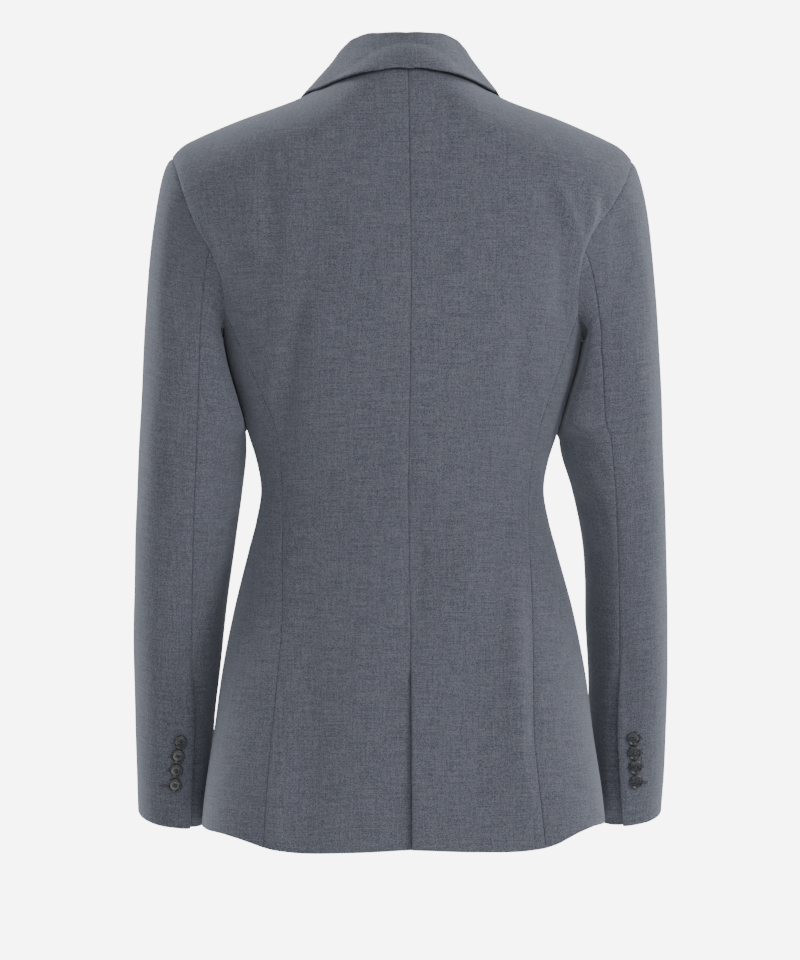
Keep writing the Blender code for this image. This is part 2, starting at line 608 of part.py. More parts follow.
def collar_grid():
    """The middle of the collar's two layers: stops by profile, from the neck seam over to the edge."""
    x, w = neck_points(COLLAR_STOPS)
    base, out = torso(x, w), torso_normal(x, w)
    mirrored = base[1:2] * [-1, 1, 1]
    run = unit(np.gradient(np.concatenate([mirrored, base]), axis=0)[1:])
    into = unit(np.cross(out, run))
    into = np.where((into * (np.array([0, -0.01, 0.05]) - base)).sum(-1, keepdims=True) < 0, -into, into)
    lean = np.radians(read(COLLAR, "lean", COLLAR_STOPS))[:, None]
    up = np.cos(lean) * into + np.sin(lean) * out
    off = np.cos(lean) * out - np.sin(lean) * into
    foot = base - out * CLOTH / 2 + into * (4 * SEAM + COLLAR_CLOTH * np.sin(lean))
    stand = read(COLLAR, "stand", COLLAR_STOPS)[:, None]
    bend = ROLL + CLOTH / 2
    rows = [foot + up * stand * t for t in np.linspace(0, 1, STAND_STEPS + 1)]
    centre = rows[-1] + off * bend
    for t in np.linspace(0, math.pi, FOLD_STEPS + 1)[1:]:
        rows.append(centre - off * bend * math.cos(t) + up * bend * math.sin(t))
    start = rows[-1]
    ends = dict(COLLAR, w=along(COLLAR["x"], COLLAR["z"], COLLAR["side"]))
    end_x, end_w = read(ends, "x", COLLAR_STOPS), read(ends, "w", COLLAR_STOPS)
    end = torso(end_x, end_w) + torso_normal(end_x, end_w) * read(COLLAR, "lift", COLLAR_STOPS)[:, None]
    reach = np.linalg.norm(end - start, axis=-1, keepdims=True)
    finish = unit(end - start)
    for t in np.linspace(0, 1, FALL_STEPS + 1)[1:]:
        rows.append(
            (1 + 2 * t) * (1 - t) ** 2 * start - t * (1 - t) ** 2 * reach * 0.3 * up
            + t * t * (3 - 2 * t) * end + t * t * (t - 1) * reach * finish
        )
    half = np.stack(rows, 1)
    half[:, STAND_STEPS + FOLD_STEPS:] = lift_clear(half[:, STAND_STEPS + FOLD_STEPS:], LEAST_LIFT)
    other = half[:0:-1] * [-1, 1, 1]
    return np.concatenate([other, half])


def collar_sheet():
    places = collar_grid()
    outs = unit(np.cross(np.gradient(places, axis=0), np.gradient(places, axis=1)))
    top = outs[len(outs) // 2, STAND_STEPS + FOLD_STEPS // 2]
    sheet = Sheet()
    sheet.grid(places, outs if top[2] > 0 else -outs)
    sheet.draw_back(SEAM / 2)
    return sheet


# ---- Sleeves

def arm_ring(hand, z, angle):
    """A point of a sleeve, angle in radians from its outer side by way of the back."""
    outer, inner = read(ARM, "outer_" + hand, z), read(ARM, "inner_" + hand, z)
    c, s = np.cos(angle), np.sin(angle)
    size = (np.abs(c) ** ARM_POWER + np.abs(s) ** ARM_POWER) ** (-1 / ARM_POWER)
    deep = read(ARM, "half_depth", z) * s * size
    wide = (outer - inner) / 2 * c * size
    height = z - read(ARM, "slope", z) * deep + CUFF_TILT * ease(0.48, 0.66, -z) * wide
    return np.stack([(outer + inner) / 2 + wide, read(ARM, "middle", z) + deep, height], -1)


def arm_angles(hand, z):
    """Angles of the sleeve's columns at a height, with its seams on whole columns."""
    outer, inner = read(ARM, "outer_" + hand, z), read(ARM, "inner_" + hand, z)
    offset = ((outer + inner) / 2 - read(ARM, "seam_" + hand, z)) / ((outer - inner) / 2)
    back_seam = 90 + math.degrees(math.asin(np.clip(offset, -0.9, 0.9)))
    last = 2 * ROWS_ABOVE + SIDE_STEPS
    keys = [0, ROWS_ABOVE - BACK_SEAM_AT, ROWS_ABOVE + SIDE_STEPS // 2, last - (ROWS_ABOVE - FRONT_SEAM_AT), last]
    return np.radians(np.interp(np.arange(last + 1), keys, [0, back_seam, 180, FRONT_ARM_SEAM, 360]))


def armhole_loop(hand):
    """Points round the armhole from the tip by way of the back, with two directions at each:
    across the edge along the body's cloth, and out of it."""
    back = armhole(BACK_ARMHOLE, hand, BACK_STATIONS, 1)[::-1]
    foot = underarm(hand)[1:-1]
    front = armhole(FRONT_ARMHOLE, hand, FRONT_STATIONS, -1)
    points = np.concatenate([torso(*back.T), ring(*foot.T), torso(*front.T)])
    outs = np.concatenate([torso_normal(*back.T), ring_normal(*foot.T), torso_normal(*front.T)])
    closed = np.concatenate([points[-2:-1], points, points[1:2]])
    run = unit(np.gradient(closed, axis=0)[1:-1])
    across = unit(np.cross(outs, run))
    middle = points.mean(0)
    inward = ((middle - points) * across).sum(-1, keepdims=True) < 0
    return points, np.where(inward, -across, across), outs


def sleeve_grid(hand):
    points, across, outs = armhole_loop(hand)
    count = len(points)
    low = 0.5 - 0.5 * np.cos(arm_angles(hand, -0.2855))
    fold = np.radians(4 + 70 * low**2)[:, None]
    away = unit(np.cos(fold) * across + np.sin(fold) * outs)
    top_z = ARM["at"][-1]
    angles = arm_angles(hand, top_z)
    ends = arm_ring(hand, np.full(count, top_z), angles)
    below = arm_ring(hand, np.full(count, top_z - 0.004), arm_angles(hand, top_z - 0.004))
    down = unit(below - ends)
    start = points + away * SEAM / 2
    span = np.linalg.norm(ends - start, axis=-1, keepdims=True)
    first = away * (0.078 - 0.045 * low[:, None])
    rows = []
    for t in np.linspace(0, 1, CAP_ROWS + 1) ** 1.5:
        rows.append(
            (1 + 2 * t) * (1 - t) ** 2 * start + t * (1 - t) ** 2 * first
            + t * t * (3 - 2 * t) * ends + t * t * (t - 1) * down * span * 0.8
        )
    for z in rows_between(top_z, ARM["at"][0], ARM_ROWS)[1:]:
        rows.append(arm_ring(hand, np.full(count, z), arm_angles(hand, z)))
    grid = np.stack(rows)
    # Behind, and above the elbow, the sleeve keeps outside the body's widest line.
    middle = read(RINGS, "middle", grid[..., 2])
    behind = grid[..., 1] > middle
    share = np.where(behind, ease(0.314, 0.335, -grid[..., 2]), 1)
    clear = torso_half_width(middle + (grid[..., 1] - middle) * share, grid[..., 2]) + CLEAR
    weight = ease(0.206, 0.226, -grid[..., 2])
    weight[0] = 0
    grid[..., 0] += weight * np.maximum(clear - grid[..., 0], 0)
    inner = ease(0.55, 0.9, 0.5 - 0.5 * np.cos(angles))[None, :]
    lies = inner * ease(0.214, 0.238, -grid[..., 2]) * (1 - ease(0.303, 0.322, -grid[..., 2]))
    lies[0] = 0
    lies *= 1 - ease(0.010, 0.034, middle - grid[..., 1])
    grid[..., 0] += lies * (clear - grid[..., 0])
    return grid, unit(np.cos(fold) * outs - np.sin(fold) * across)


def sleeve_outs(grid, first):
    around = np.concatenate([grid[:, -2:-1], grid, grid[:, 1:2]], 1)
    around = np.gradient(around, axis=1)[:, 1:-1]
    outs = unit(np.cross(np.gradient(grid, axis=0), around))
    middle = grid.mean(1, keepdims=True)
    facing = (outs * (grid - middle)).sum(-1).sum()
    outs = outs if facing > 0 else -outs
    outs[0] = first
    return outs


def sleeve_sheets(hand):
    grid, first = sleeve_grid(hand)
    outs = sleeve_outs(grid, first)
    back_seam = ROWS_ABOVE - BACK_SEAM_AT
    front_seam = grid.shape[1] - 1 - (ROWS_ABOVE - FRONT_SEAM_AT)
    order = list(range(front_seam, grid.shape[1] - 1)) + list(range(0, back_seam + 1))
    top = Sheet()
    top.grid(grid[:, order], outs[:, order])
    top.draw_back(SEAM / 2)

    # Down the cuff vent the under sleeve dips and runs on under the top sleeve.
    dip = SLEEVE_CLOTH + LAP
    columns = list(range(back_seam, front_seam + 1))
    places, ways = grid[:, columns].copy(), outs[:, columns]
    depth = ease(-CUFF_VENT_Z - 0.03, -CUFF_VENT_Z, -places[..., 2])
    near = np.clip(1 - np.arange(len(columns)) / 2.0, 0, 1)[None, :]
    places -= ways * (dip * depth * near)[..., None]
    under = Sheet()
    under.grid(places, ways)
    low = [r for r in range(len(grid)) if grid[r, back_seam, 2] < CUFF_VENT_Z]
    step = unit(grid[low, back_seam - 1] - grid[low, back_seam])
    over = grid[low, back_seam][:, None] + step[:, None] * (CUFF_UNDERLAP * np.linspace(0, 1, 3))[None, :, None]
    lap_outs = np.repeat(outs[low, back_seam][:, None], 3, 1)
    over = over - lap_outs * dip - lap_outs * (0.0009 * np.linspace(0, 1, 3) ** 2)[None, :, None]
    over[:, 0] = places[low, 0]
    under.grid(over, lap_outs)
    under.draw_back(SEAM / 2)
    return top, under


# ---- Buttons

def button_mesh(across):
    """A turned disc with a raised rim, a dished middle and four thread holes."""
    r, deep = across / 2, across * 0.17
    profile = [
        (0.0, 0.0), (r * 0.80, 0.0), (r, deep * 0.50), (r * 0.93, deep), (r * 0.74, deep * 0.86), (0.0, deep * 0.66),
    ]
    mesh = bpy.data.meshes.new("button")
    mesh.from_pydata([(x, 0, z) for x, z in profile], [(i, i + 1) for i in range(len(profile) - 1)], [])
    body = bpy.data.objects.new("button", mesh)
    blazer.objects.link(body)
    turned = body.modifiers.new("turned", "SCREW")
    turned.steps = turned.render_steps = 16
    turned.use_merge_vertices = True
    turned.merge_threshold = 1e-5
    turned.use_normal_calculate = True
    cutters = []
    for i in range(4):
        angle = math.radians(45 + 90 * i)
        bpy.ops.mesh.primitive_cylinder_add(
            vertices=6, radius=across * 0.055, depth=deep * 4,
            location=(math.cos(angle) * across * 0.125, math.sin(angle) * across * 0.125, 0),
        )
        hole = bpy.context.object
        hole.hide_render = True
        cut = body.modifiers.new("thread hole", "BOOLEAN")
        cut.object, cut.operation, cut.solver = hole, "DIFFERENCE", "EXACT"
        cutters.append(hole)
    bpy.context.view_layer.update()
    graph = bpy.context.evaluated_depsgraph_get()
    done = bpy.data.meshes.new_from_object(body.evaluated_get(graph))
    for helper in [body, *cutters]:
        bpy.data.objects.remove(helper)
    return done


def set_button(name, master, place_at, out, turn, shank=SEAM, colour=(0.05, 0.05, 0.055)):
    """A button whose back stands its thread shank off the cloth at a point, facing out of it."""
    side = unit(np.cross([0, 0, 1.0], out))
    up = np.cross(out, side)
    c, s = math.cos(turn), math.sin(turn)
    axes = np.stack([side * c + up * s, up * c - side * s, out], -1)
    mesh = master.copy()
    mesh.name = name
    verts = np.array([v.co[:] for v in mesh.vertices])
    moved = verts @ axes.T + place_at + out * shank
    for v, co in zip(mesh.vertices, moved):
        v.co = co
    mesh.update()
    place(name, mesh, colour)


def on_sleeve(hand, x, z):
    """The point of the top sleeve's back at a distance from the centre and a height, and the way out."""
    angle = math.radians(95)
    row = z
    for _ in range(40):
        outer, inner = read(ARM, "outer_" + hand, row), read(ARM, "inner_" + hand, row)
        t = np.clip((x - (outer + inner) / 2) / ((outer - inner) / 2), -0.95, 0.95)
        angle = math.atan2((1 - abs(t) ** ARM_POWER) ** (1 / ARM_POWER), t)
        row += z - arm_ring(hand, row, angle)[2]
    here = arm_ring(hand, row, angle)
    d = 1e-3
    round_it = arm_ring(hand, row, angle + d) - arm_ring(hand, row, angle - d)
    down_it = arm_ring(hand, row + d, angle) - arm_ring(hand, row - d, angle)
    out = unit(np.cross(round_it, down_it))
    return here, out if out[1] > 0 else -out


# ---- Build

for old in list(bpy.data.objects):
    bpy.data.objects.remove(old)
blazer = bpy.data.collections.new("single breasted blazer")
bpy.context.scene.collection.children.link(blazer)

for hand, mirror in (("left", 1.0), ("right", -1.0)):
    solid(f"back_{hand}", back_sheet(hand), 0, -CLOTH, mirror)
    solid(f"side_{hand}", side_sheet(hand), 0, -CLOTH, mirror)
    solid(f"front_{hand}", front_sheet(hand), 0, -CLOTH, mirror)
    top, under = sleeve_sheets(hand)
    solid(f"top_sleeve_{hand}", top, 0, -SLEEVE_CLOTH, mirror)
    solid(f"under_sleeve_{hand}", under, 0, -SLEEVE_CLOTH, mirror)

collar = collar_sheet()
solid("upper_collar", collar, SEAM / 2 + COLLAR_CLOTH, SEAM / 2)
solid("under_collar", collar, -SEAM / 2, -SEAM / 2 - COLLAR_CLOTH)

small = button_mesh(CUFF_BUTTON)
for hand, mirror in (("left", 1.0), ("right", -1.0)):
    for i in range(4):
        spot, out = on_sleeve(hand, CUFF_BUTTONS[hand + "_x"][i], CUFF_BUTTONS[hand + "_z"][i])
        flip = np.array([mirror, 1, 1])
        set_button(f"cuff_button_{hand}_{i + 1}", small, spot * flip, out * flip, 0.35 * i)
large = button_mesh(FRONT_BUTTON)
centre_w = along(0.0, BUTTON_Z, -1)
set_button("front_button", large, torso(0.0, centre_w), torso_normal(0.0, centre_w), 0.2, 0.0012)
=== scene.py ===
# %% [markdown]
# # A single breasted blazer, filled out as worn
#
# The imported solids already have the blazer's cut and form, so this lesson gives each of them its
# finish. Every cloth piece is laid again on the same form with far more points, so that its seams
# can roll in, its edges can be turned and its folds can be pressed in. We could have
# subdivided the frame's own solids instead, but they are loose triangles with no weave direction,
# and a cloth needs to know which way its threads run.

# %% Load the frame
import math

import bpy
import numpy as np
from mathutils import Matrix, Vector


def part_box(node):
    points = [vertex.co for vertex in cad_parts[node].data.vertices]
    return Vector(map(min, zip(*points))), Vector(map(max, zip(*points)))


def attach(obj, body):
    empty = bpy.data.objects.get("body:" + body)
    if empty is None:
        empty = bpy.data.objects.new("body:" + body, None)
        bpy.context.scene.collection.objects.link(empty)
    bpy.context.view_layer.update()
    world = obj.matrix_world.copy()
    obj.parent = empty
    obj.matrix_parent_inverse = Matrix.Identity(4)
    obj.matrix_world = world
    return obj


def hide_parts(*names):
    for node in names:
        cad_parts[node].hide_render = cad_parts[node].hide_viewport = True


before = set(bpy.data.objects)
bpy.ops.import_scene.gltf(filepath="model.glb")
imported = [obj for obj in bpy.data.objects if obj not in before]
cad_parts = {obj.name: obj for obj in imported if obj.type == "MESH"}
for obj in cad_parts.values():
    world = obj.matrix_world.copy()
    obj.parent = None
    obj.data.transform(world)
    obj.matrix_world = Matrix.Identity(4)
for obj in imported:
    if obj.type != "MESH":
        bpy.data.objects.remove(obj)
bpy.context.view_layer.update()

# %% [markdown]
# ## The stage
#
# A garment shows its form by long soft shadows, so the lights are large discs. The key light stands
# at the picture's right, on the camera's side, so every fold of the back has a pale side and a dark
# one. A light above the camera and one below it soften that, a weak one fills the left, and two from
# beyond the blazer draw a pale rim on the sleeves. The last one lights the front, for a look from
# there. An even light would be simpler to set, but it would flatten the folds. The floor is a plain
# pale disc, well below the hem, because the blazer is carried by its wearer and stands on nothing.

# %% Camera
CAMERA_AWAY = 3.5
CAMERA_AZIMUTH = 176.0
CAMERA_HEIGHT = -0.360
VIEW_HEIGHT = 0.893     # what the picture's height spans at the neck's axis
VIEW_CENTRE = (0.0024, 0.0020)

camera = bpy.data.cameras.new("camera")
camera.sensor_fit = "VERTICAL"
camera.sensor_width = camera.sensor_height = 36.0
camera.lens = 36.0 * CAMERA_AWAY / VIEW_HEIGHT
camera_object = bpy.data.objects.new("camera", camera)
bpy.context.scene.collection.objects.link(camera_object)
turn = math.radians(CAMERA_AZIMUTH)
to_camera = np.array([math.sin(turn), -math.cos(turn), 0.0])
to_right = np.array([math.cos(turn), math.sin(turn), 0.0])
camera_place = to_camera * CAMERA_AWAY - to_right * VIEW_CENTRE[0]
camera_object.location = (camera_place[0], camera_place[1], CAMERA_HEIGHT + VIEW_CENTRE[1])
camera_object.rotation_euler = (math.pi / 2, 0, turn)
bpy.context.scene.camera = camera_object
print("camera lens", round(camera.lens, 1), "mm")

# %% Lights
LIGHTS = {
    # name: (to the picture's right, towards the camera, up, size, watts)
    "key": (1.90, 1.45, 0.75, 1.2, 27.0),
    "near": (0.10, 2.45, 0.95, 1.2, 15.5),
    "low": (0.00, 1.95, -1.30, 1.2, 8.0),
    "fill": (-2.10, 1.20, 0.30, 1.6, 3.5),
    "rim right": (2.20, -1.00, 1.50, 1.4, 45.0),
    "rim left": (-2.20, -1.00, 1.50, 1.4, 60.0),
    "front": (0.30, -2.40, 0.50, 1.8, 12.0),
}
AIM = np.array([0.0, 0.0, -0.33])       # a little above the waist
for name, (right, near, up, size, watts) in LIGHTS.items():
    bpy.ops.object.light_add(type="AREA")
    lamp = bpy.context.object
    lamp.name = name
    lamp.data.shape = "DISK"
    lamp.data.size = size
    lamp.data.energy = watts
    spot = to_right * right + to_camera * near + np.array([0, 0, up]) + AIM
    lamp.location = spot
    away = spot - AIM
    flat = math.hypot(away[0], away[1])
    lamp.rotation_euler = (math.atan2(flat, away[2]), 0, math.atan2(away[0], -away[1]))
print("lights:", ", ".join(LIGHTS))

# %% World
WORLD_LIGHT = 0.33      # how strongly the white world lights the cloth
WORLD_SEEN = 7.0        # how strongly the camera sees it

world = bpy.data.worlds.new("studio")
bpy.context.scene.world = world
world.use_nodes = True
links, nodes = world.node_tree.links, world.node_tree.nodes
seen = nodes.new("ShaderNodeLightPath")
strength = nodes.new("ShaderNodeMix")
strength.inputs[2].default_value = WORLD_LIGHT
strength.inputs[3].default_value = WORLD_SEEN
links.new(seen.outputs["Is Camera Ray"], strength.inputs[0])
links.new(strength.outputs[0], nodes["Background"].inputs["Strength"])
nodes["Background"].inputs["Color"].default_value = (1, 1, 1, 1)
print("world lights at", WORLD_LIGHT, "and is seen at", WORLD_SEEN)

# %% Floor
FLOOR_RADIUS, FLOOR_Z = 1.5, -1.30

bpy.ops.object.select_all(action="DESELECT")
bpy.ops.mesh.primitive_circle_add(
    vertices=96, radius=FLOOR_RADIUS, fill_type="NGON", location=(0, 0, FLOOR_Z))
floor = bpy.context.object
floor.name = "floor"
bpy.ops.object.transform_apply(location=True, rotation=True, scale=True)
pale = bpy.data.materials.new("pale floor")
pale.use_nodes = True
pale.node_tree.nodes["Principled BSDF"].inputs["Base Color"].default_value = (0.86, 0.86, 0.86, 1)
pale.node_tree.nodes["Principled BSDF"].inputs["Roughness"].default_value = 0.9
floor.data.materials.append(pale)

# %% [markdown]
# ## The cut, in named sizes
#
# These are the sizes that the solids were built from: cloth thickness, neckline, armholes, vents. A
# cutter would call this the draft. Keeping them as short tables with named columns means that a
# seam can be moved by changing one row.

# %% Sizes
# The cloth, and what is left between its layers.
CLOTH = 0.0016
SLEEVE_CLOTH = 0.0015
COLLAR_CLOTH = 0.0012
SEAM = 0.0003
LAP = 0.0009
FRONT_LAP = 0.0016
# Shoulders, neck and armholes.
ROUND = 0.050           # radius of the turn from the shoulder line to the back
RIDGE_Y = -0.005        # depth of the shoulder line
NECK_X = 0.070          # where the shoulder line meets the neckline
TIP_X = 0.215           # where it meets the armhole
JOIN_Z = -0.205         # where the side panel's seams meet the armhole
UNDERARM_Z = -0.228
LEAST_LIFT = 0.0019     # the collar leaf's middle off the shoulder
# Front edge and lapel.
OVERLAP = 0.018
FRONT_CORNER = 0.044    # how far the rounded corner reaches across
CORNER_Z = -0.500       # where it starts
GORGE_X, GORGE_Z = 0.051, -0.050
NOTCH_X, NOTCH_Z = 0.100, -0.066
PEAK_X, PEAK_Z = 0.130, -0.079
BREAK_Z = -0.335
UNDER_STRAIGHT_Z = -0.360
UNDER_BREAK_X, UNDER_BREAK_Z = 0.006, -0.245
LAPEL_BELLY = 0.012
ROLL = 0.0015
# Vents and hem.
VENT_Z = -0.512
VENT_UNDERLAP = 0.035
CUFF_VENT_Z = -0.560
CUFF_UNDERLAP = 0.013
HEM_Z = -0.688          # its usual height, where the search for its exact one starts
print("body cloth", CLOTH * 1000, "mm thick, sleeves", SLEEVE_CLOTH * 1000, "mm")

# %% Tables of the cut
def table(names, *rows):
    """Columns by name. Where the first is "at", it rises, and the others are read between its rows."""
    return {name: np.array([row[i] for row in rows], float) for i, name in enumerate(names.split())}


def read(tab, name, at):
    """A column at any place: cubics through the rows, held past the ends."""
    xs, ys = tab["at"], tab[name]
    at = np.clip(np.asarray(at, float), xs[0], xs[-1])
    slope = np.gradient(ys, xs)
    i = np.clip(np.searchsorted(xs, at, side="right") - 1, 0, len(xs) - 2)
    h = xs[i + 1] - xs[i]
    s = (at - xs[i]) / h
    return (
        (1 + 2 * s) * (1 - s) ** 2 * ys[i]
        + s * (1 - s) ** 2 * h * slope[i]
        + s * s * (3 - 2 * s) * ys[i + 1]
        + s * s * (s - 1) * h * slope[i + 1]
    )


# Height of the shoulder line, by distance from the centre. Inside the neck it only shapes the neck hole.
RIDGE = table(
    "at z",
    (-0.060, 0.0208), (-0.030, 0.0470), (0.000, 0.0580), (0.030, 0.0470), (0.050, 0.0303),
    (0.060, 0.0208), (0.070, 0.0118), (0.082, 0.0036), (0.0945, -0.0028), (0.116, -0.0112), (0.143, -0.0210),
    (0.170, -0.0320), (0.190, -0.0408), (0.205, -0.0490), (0.215, -0.0590), (0.240, -0.0900),
)

# Torso rings, by height. back and front are the depths on the centre line, middle is the depth of
# the widest point, and a higher power is squarer. Above the armhole a ring is wider than the cloth.
RINGS = table(
    "at half_width back front middle back_power front_power",
    (-0.705, 0.1885, 0.1215, -0.1060, 0.012, 2.90, 2.40),
    (-0.660, 0.1850, 0.1195, -0.1055, 0.012, 2.80, 2.40),
    (-0.590, 0.1752, 0.1160, -0.1035, 0.012, 2.60, 2.35),
    (-0.535, 0.1682, 0.1110, -0.1005, 0.011, 2.45, 2.30),
    (-0.479, 0.1575, 0.1010, -0.0985, 0.009, 2.30, 2.20),
    (-0.423, 0.1430, 0.0875, -0.0960, 0.006, 2.20, 2.15),
    (-0.395, 0.1355, 0.0815, -0.0945, 0.005, 2.15, 2.10),
    (-0.367, 0.1312, 0.0780, -0.0940, 0.005, 2.10, 2.10),
    (-0.340, 0.1355, 0.0800, -0.0990, 0.004, 2.10, 2.10),
    (-0.315, 0.1435, 0.0850, -0.1060, 0.003, 2.15, 2.10),
    (-0.283, 0.1530, 0.0930, -0.1160, 0.002, 2.20, 2.15),
    (-0.250, 0.1625, 0.1005, -0.1245, 0.000, 2.25, 2.20),
    (-0.225, 0.1675, 0.1045, -0.1290, 0.000, 2.30, 2.20),
    (-0.190, 0.1800, 0.1080, -0.1280, -0.002, 2.30, 2.20),
    (-0.150, 0.1980, 0.1075, -0.1190, -0.004, 2.30, 2.20),
    (-0.107, 0.2170, 0.1010, -0.1040, -0.006, 2.25, 2.20),
    (-0.060, 0.2350, 0.0900, -0.0850, -0.008, 2.20, 2.20),
    (0.000, 0.2500, 0.0770, -0.0620, -0.010, 2.20, 2.20),
    (0.040, 0.2500, 0.0660, -0.0470, -0.010, 2.20, 2.20),
)

# Seam between back and side panel, by height: distance from the centre on each side.
BACK_SEAM = table(
    "at left right",
    (-0.700, 0.1340, 0.1235), (-0.645, 0.1305, 0.1180), (-0.597, 0.1262, 0.1130),
    (-0.547, 0.1213, 0.1125), (-0.494, 0.1162, 0.1133), (-0.433, 0.1148, 0.1135),
    (-0.380, 0.1140, 0.1136), (-0.357, 0.1149, 0.1152), (-0.327, 0.1176, 0.1200),
    (-0.300, 0.1247, 0.1262), (-0.281, 0.1328, 0.1330), (-0.234, 0.1535, 0.1490),
    (-0.205, 0.1665, 0.1590),
)
FRONT_SEAM = table(
    "at left right",
    (-0.700, 0.1380, 0.1380), (-0.600, 0.1310, 0.1310), (-0.500, 0.1220, 0.1220),
    (-0.430, 0.1130, 0.1130), (-0.367, 0.1080, 0.1080), (-0.300, 0.1260, 0.1260),
    (-0.250, 0.1450, 0.1450), (-0.205, 0.1595, 0.1595),
)

# Armhole, from the side panel's join (0) to the shoulder tip (1).
BACK_ARMHOLE = table(
    "at z left right",
    (0.00, -0.205, 0.1665, 0.1590), (0.12, -0.190, 0.1682, 0.1585), (0.25, -0.172, 0.1715, 0.1592),
    (0.40, -0.150, 0.1798, 0.1632), (0.55, -0.128, 0.1925, 0.1735), (0.70, -0.107, 0.2010, 0.1900),
    (0.82, -0.087, 0.2075, 0.2020), (0.92, -0.070, 0.2120, 0.2105), (1.00, -0.059, 0.2150, 0.2150),
)
FRONT_ARMHOLE = table(
    "at z left right",
    (0.00, -0.205, 0.1595, 0.1595), (0.14, -0.188, 0.1605, 0.1605), (0.28, -0.170, 0.1625, 0.1625),
    (0.42, -0.150, 0.1670, 0.1670), (0.55, -0.130, 0.1745, 0.1745), (0.68, -0.110, 0.1850, 0.1850),
    (0.81, -0.090, 0.1970, 0.1970), (0.92, -0.0705, 0.2095, 0.2095), (1.00, -0.059, 0.2150, 0.2150),
)
BACK_STATIONS = np.array([0.0, 0.14, 0.28, 0.42, 0.53, 0.66, 0.80, 0.92, 1.0])
FRONT_STATIONS = np.array([0.0, 0.14, 0.28, 0.42, 0.55, 0.68, 0.81, 0.92, 1.0])
BACK_SEAM_AT = 3        # the sleeve's back seam starts at this back station
FRONT_SEAM_AT = 2

# Neckline, by distance from the centre.
BACK_NECK = table(
    "at z",
    (-0.030, 0.0240), (0.000, 0.0260), (0.030, 0.0240), (0.045, 0.0207), (0.060, 0.0150), (0.070, 0.0115),
)
# Neckline of the front, by stop from the gorge (0) to the neck point (4).
FRONT_NECK = table(
    "at x z",
    (0, GORGE_X, GORGE_Z), (1, 0.0565, -0.0310), (2, 0.0628, -0.0135), (3, 0.0677, 0.0020),
    (4, 0.0700, 0.0115),
)

# Hem height, by angle round the body from the centre back.
HEM = table(
    "at left right",
    (0, -0.6908, -0.6908), (18, -0.6932, -0.6932), (32, -0.6930, -0.6926), (39, -0.6898, -0.6892),
    (46, -0.6838, -0.6808), (54, -0.6795, -0.6752), (68, -0.6775, -0.6738), (90, -0.6770, -0.6745),
    (120, -0.6800, -0.6790), (150, -0.6870, -0.6870), (180, -0.6900, -0.6900),
)

# Sleeve rings, by height of the middle. outer and inner are distances from the centre, seam is where
# the back seam runs, and slope is how far the ring drops for each metre towards the back.
ARM = table(
    "at outer_left outer_right inner_left inner_right seam_left seam_right middle half_depth slope",
    (-0.6710, 0.2455, 0.2495, 0.1780, 0.1825, 0.1980, 0.2080, -0.057, 0.0475, 0.22),
    (-0.6300, 0.2470, 0.2515, 0.1762, 0.1815, 0.1962, 0.2045, -0.051, 0.0480, 0.21),
    (-0.5770, 0.2483, 0.2525, 0.1735, 0.1800, 0.1945, 0.2012, -0.043, 0.0492, 0.20),
    (-0.5350, 0.2493, 0.2525, 0.1689, 0.1783, 0.1950, 0.2010, -0.036, 0.0505, 0.19),
    (-0.4930, 0.2496, 0.2518, 0.1642, 0.1755, 0.1958, 0.2002, -0.029, 0.0520, 0.17),
    (-0.4510, 0.2490, 0.2500, 0.1596, 0.1736, 0.1957, 0.1987, -0.022, 0.0535, 0.13),
    (-0.4090, 0.2480, 0.2482, 0.1540, 0.1692, 0.1952, 0.1962, -0.015, 0.0550, 0.09),
    (-0.3670, 0.2461, 0.2461, 0.1484, 0.1600, 0.1940, 0.1935, -0.010, 0.0570, 0.05),
    (-0.3255, 0.2443, 0.2443, 0.1447, 0.1483, 0.1924, 0.1895, -0.007, 0.0590, 0.03),
    (-0.2855, 0.2427, 0.2427, 0.1500, 0.1500, 0.1910, 0.1855, -0.006, 0.0600, 0.02),
)
ARM_POWER = 2.15
FRONT_ARM_SEAM = 238.0  # degrees round the sleeve from its outer side, by way of the back
CLEAR = 0.0012          # sleeve to body
CUFF_TILT = 0.085       # how much lower the cuff is on its inner side, for each metre across

# Collar, by neckline stop from the centre back (0) round the neck point (5) to the gorge (9).
# stand is the height of the inside, lean how far it tips outwards, x and z where the fall ends,
# side whether that is over the back (1) or the front (-1), lift how far it stands off the body.
COLLAR = table(
    "at stand lean x z side lift",
    (0, 0.0264, 4, 0.0000, 0.0148, 1, 0.0030),
    (1, 0.0282, 8, 0.0270, 0.0128, 1, 0.0030),
    (2, 0.0318, 13, 0.0505, 0.0082, 1, 0.0028),
    (3, 0.0312, 18, 0.0680, 0.0040, 1, 0.0024),
    (4, 0.0246, 22, 0.0820, 0.0004, 1, 0.0021),
    (5, 0.0204, 23, 0.0925, -0.0036, -1, 0.0021),
    (6, 0.0170, 23, 0.1005, -0.0140, -1, 0.0024),
    (7, 0.0135, 20, 0.1095, -0.0295, -1, 0.0028),
    (8, 0.0080, 12, 0.1165, -0.0480, -1, 0.0032),
    (9, 0.0006, 0, NOTCH_X, NOTCH_Z, -1, 0.0030),
)

print("tables: torso", len(RINGS["at"]), "rings, sleeve", len(ARM["at"]), "rings")
print("collar:", len(COLLAR["at"]), "stops")

# %% [markdown]
# ## The body's form
#
# The torso is a stack of rounded rings under a shoulder line. A point of it is found from x, its
# distance from the centre, and w, how far it lies down the cloth from the shoulder line. That is how
# cloth is measured on a stand, and it keeps the thread lines upright.

# %% Form
def unit(v):
    """Vectors brought to length one."""
    return v / np.linalg.norm(v, axis=-1, keepdims=True)


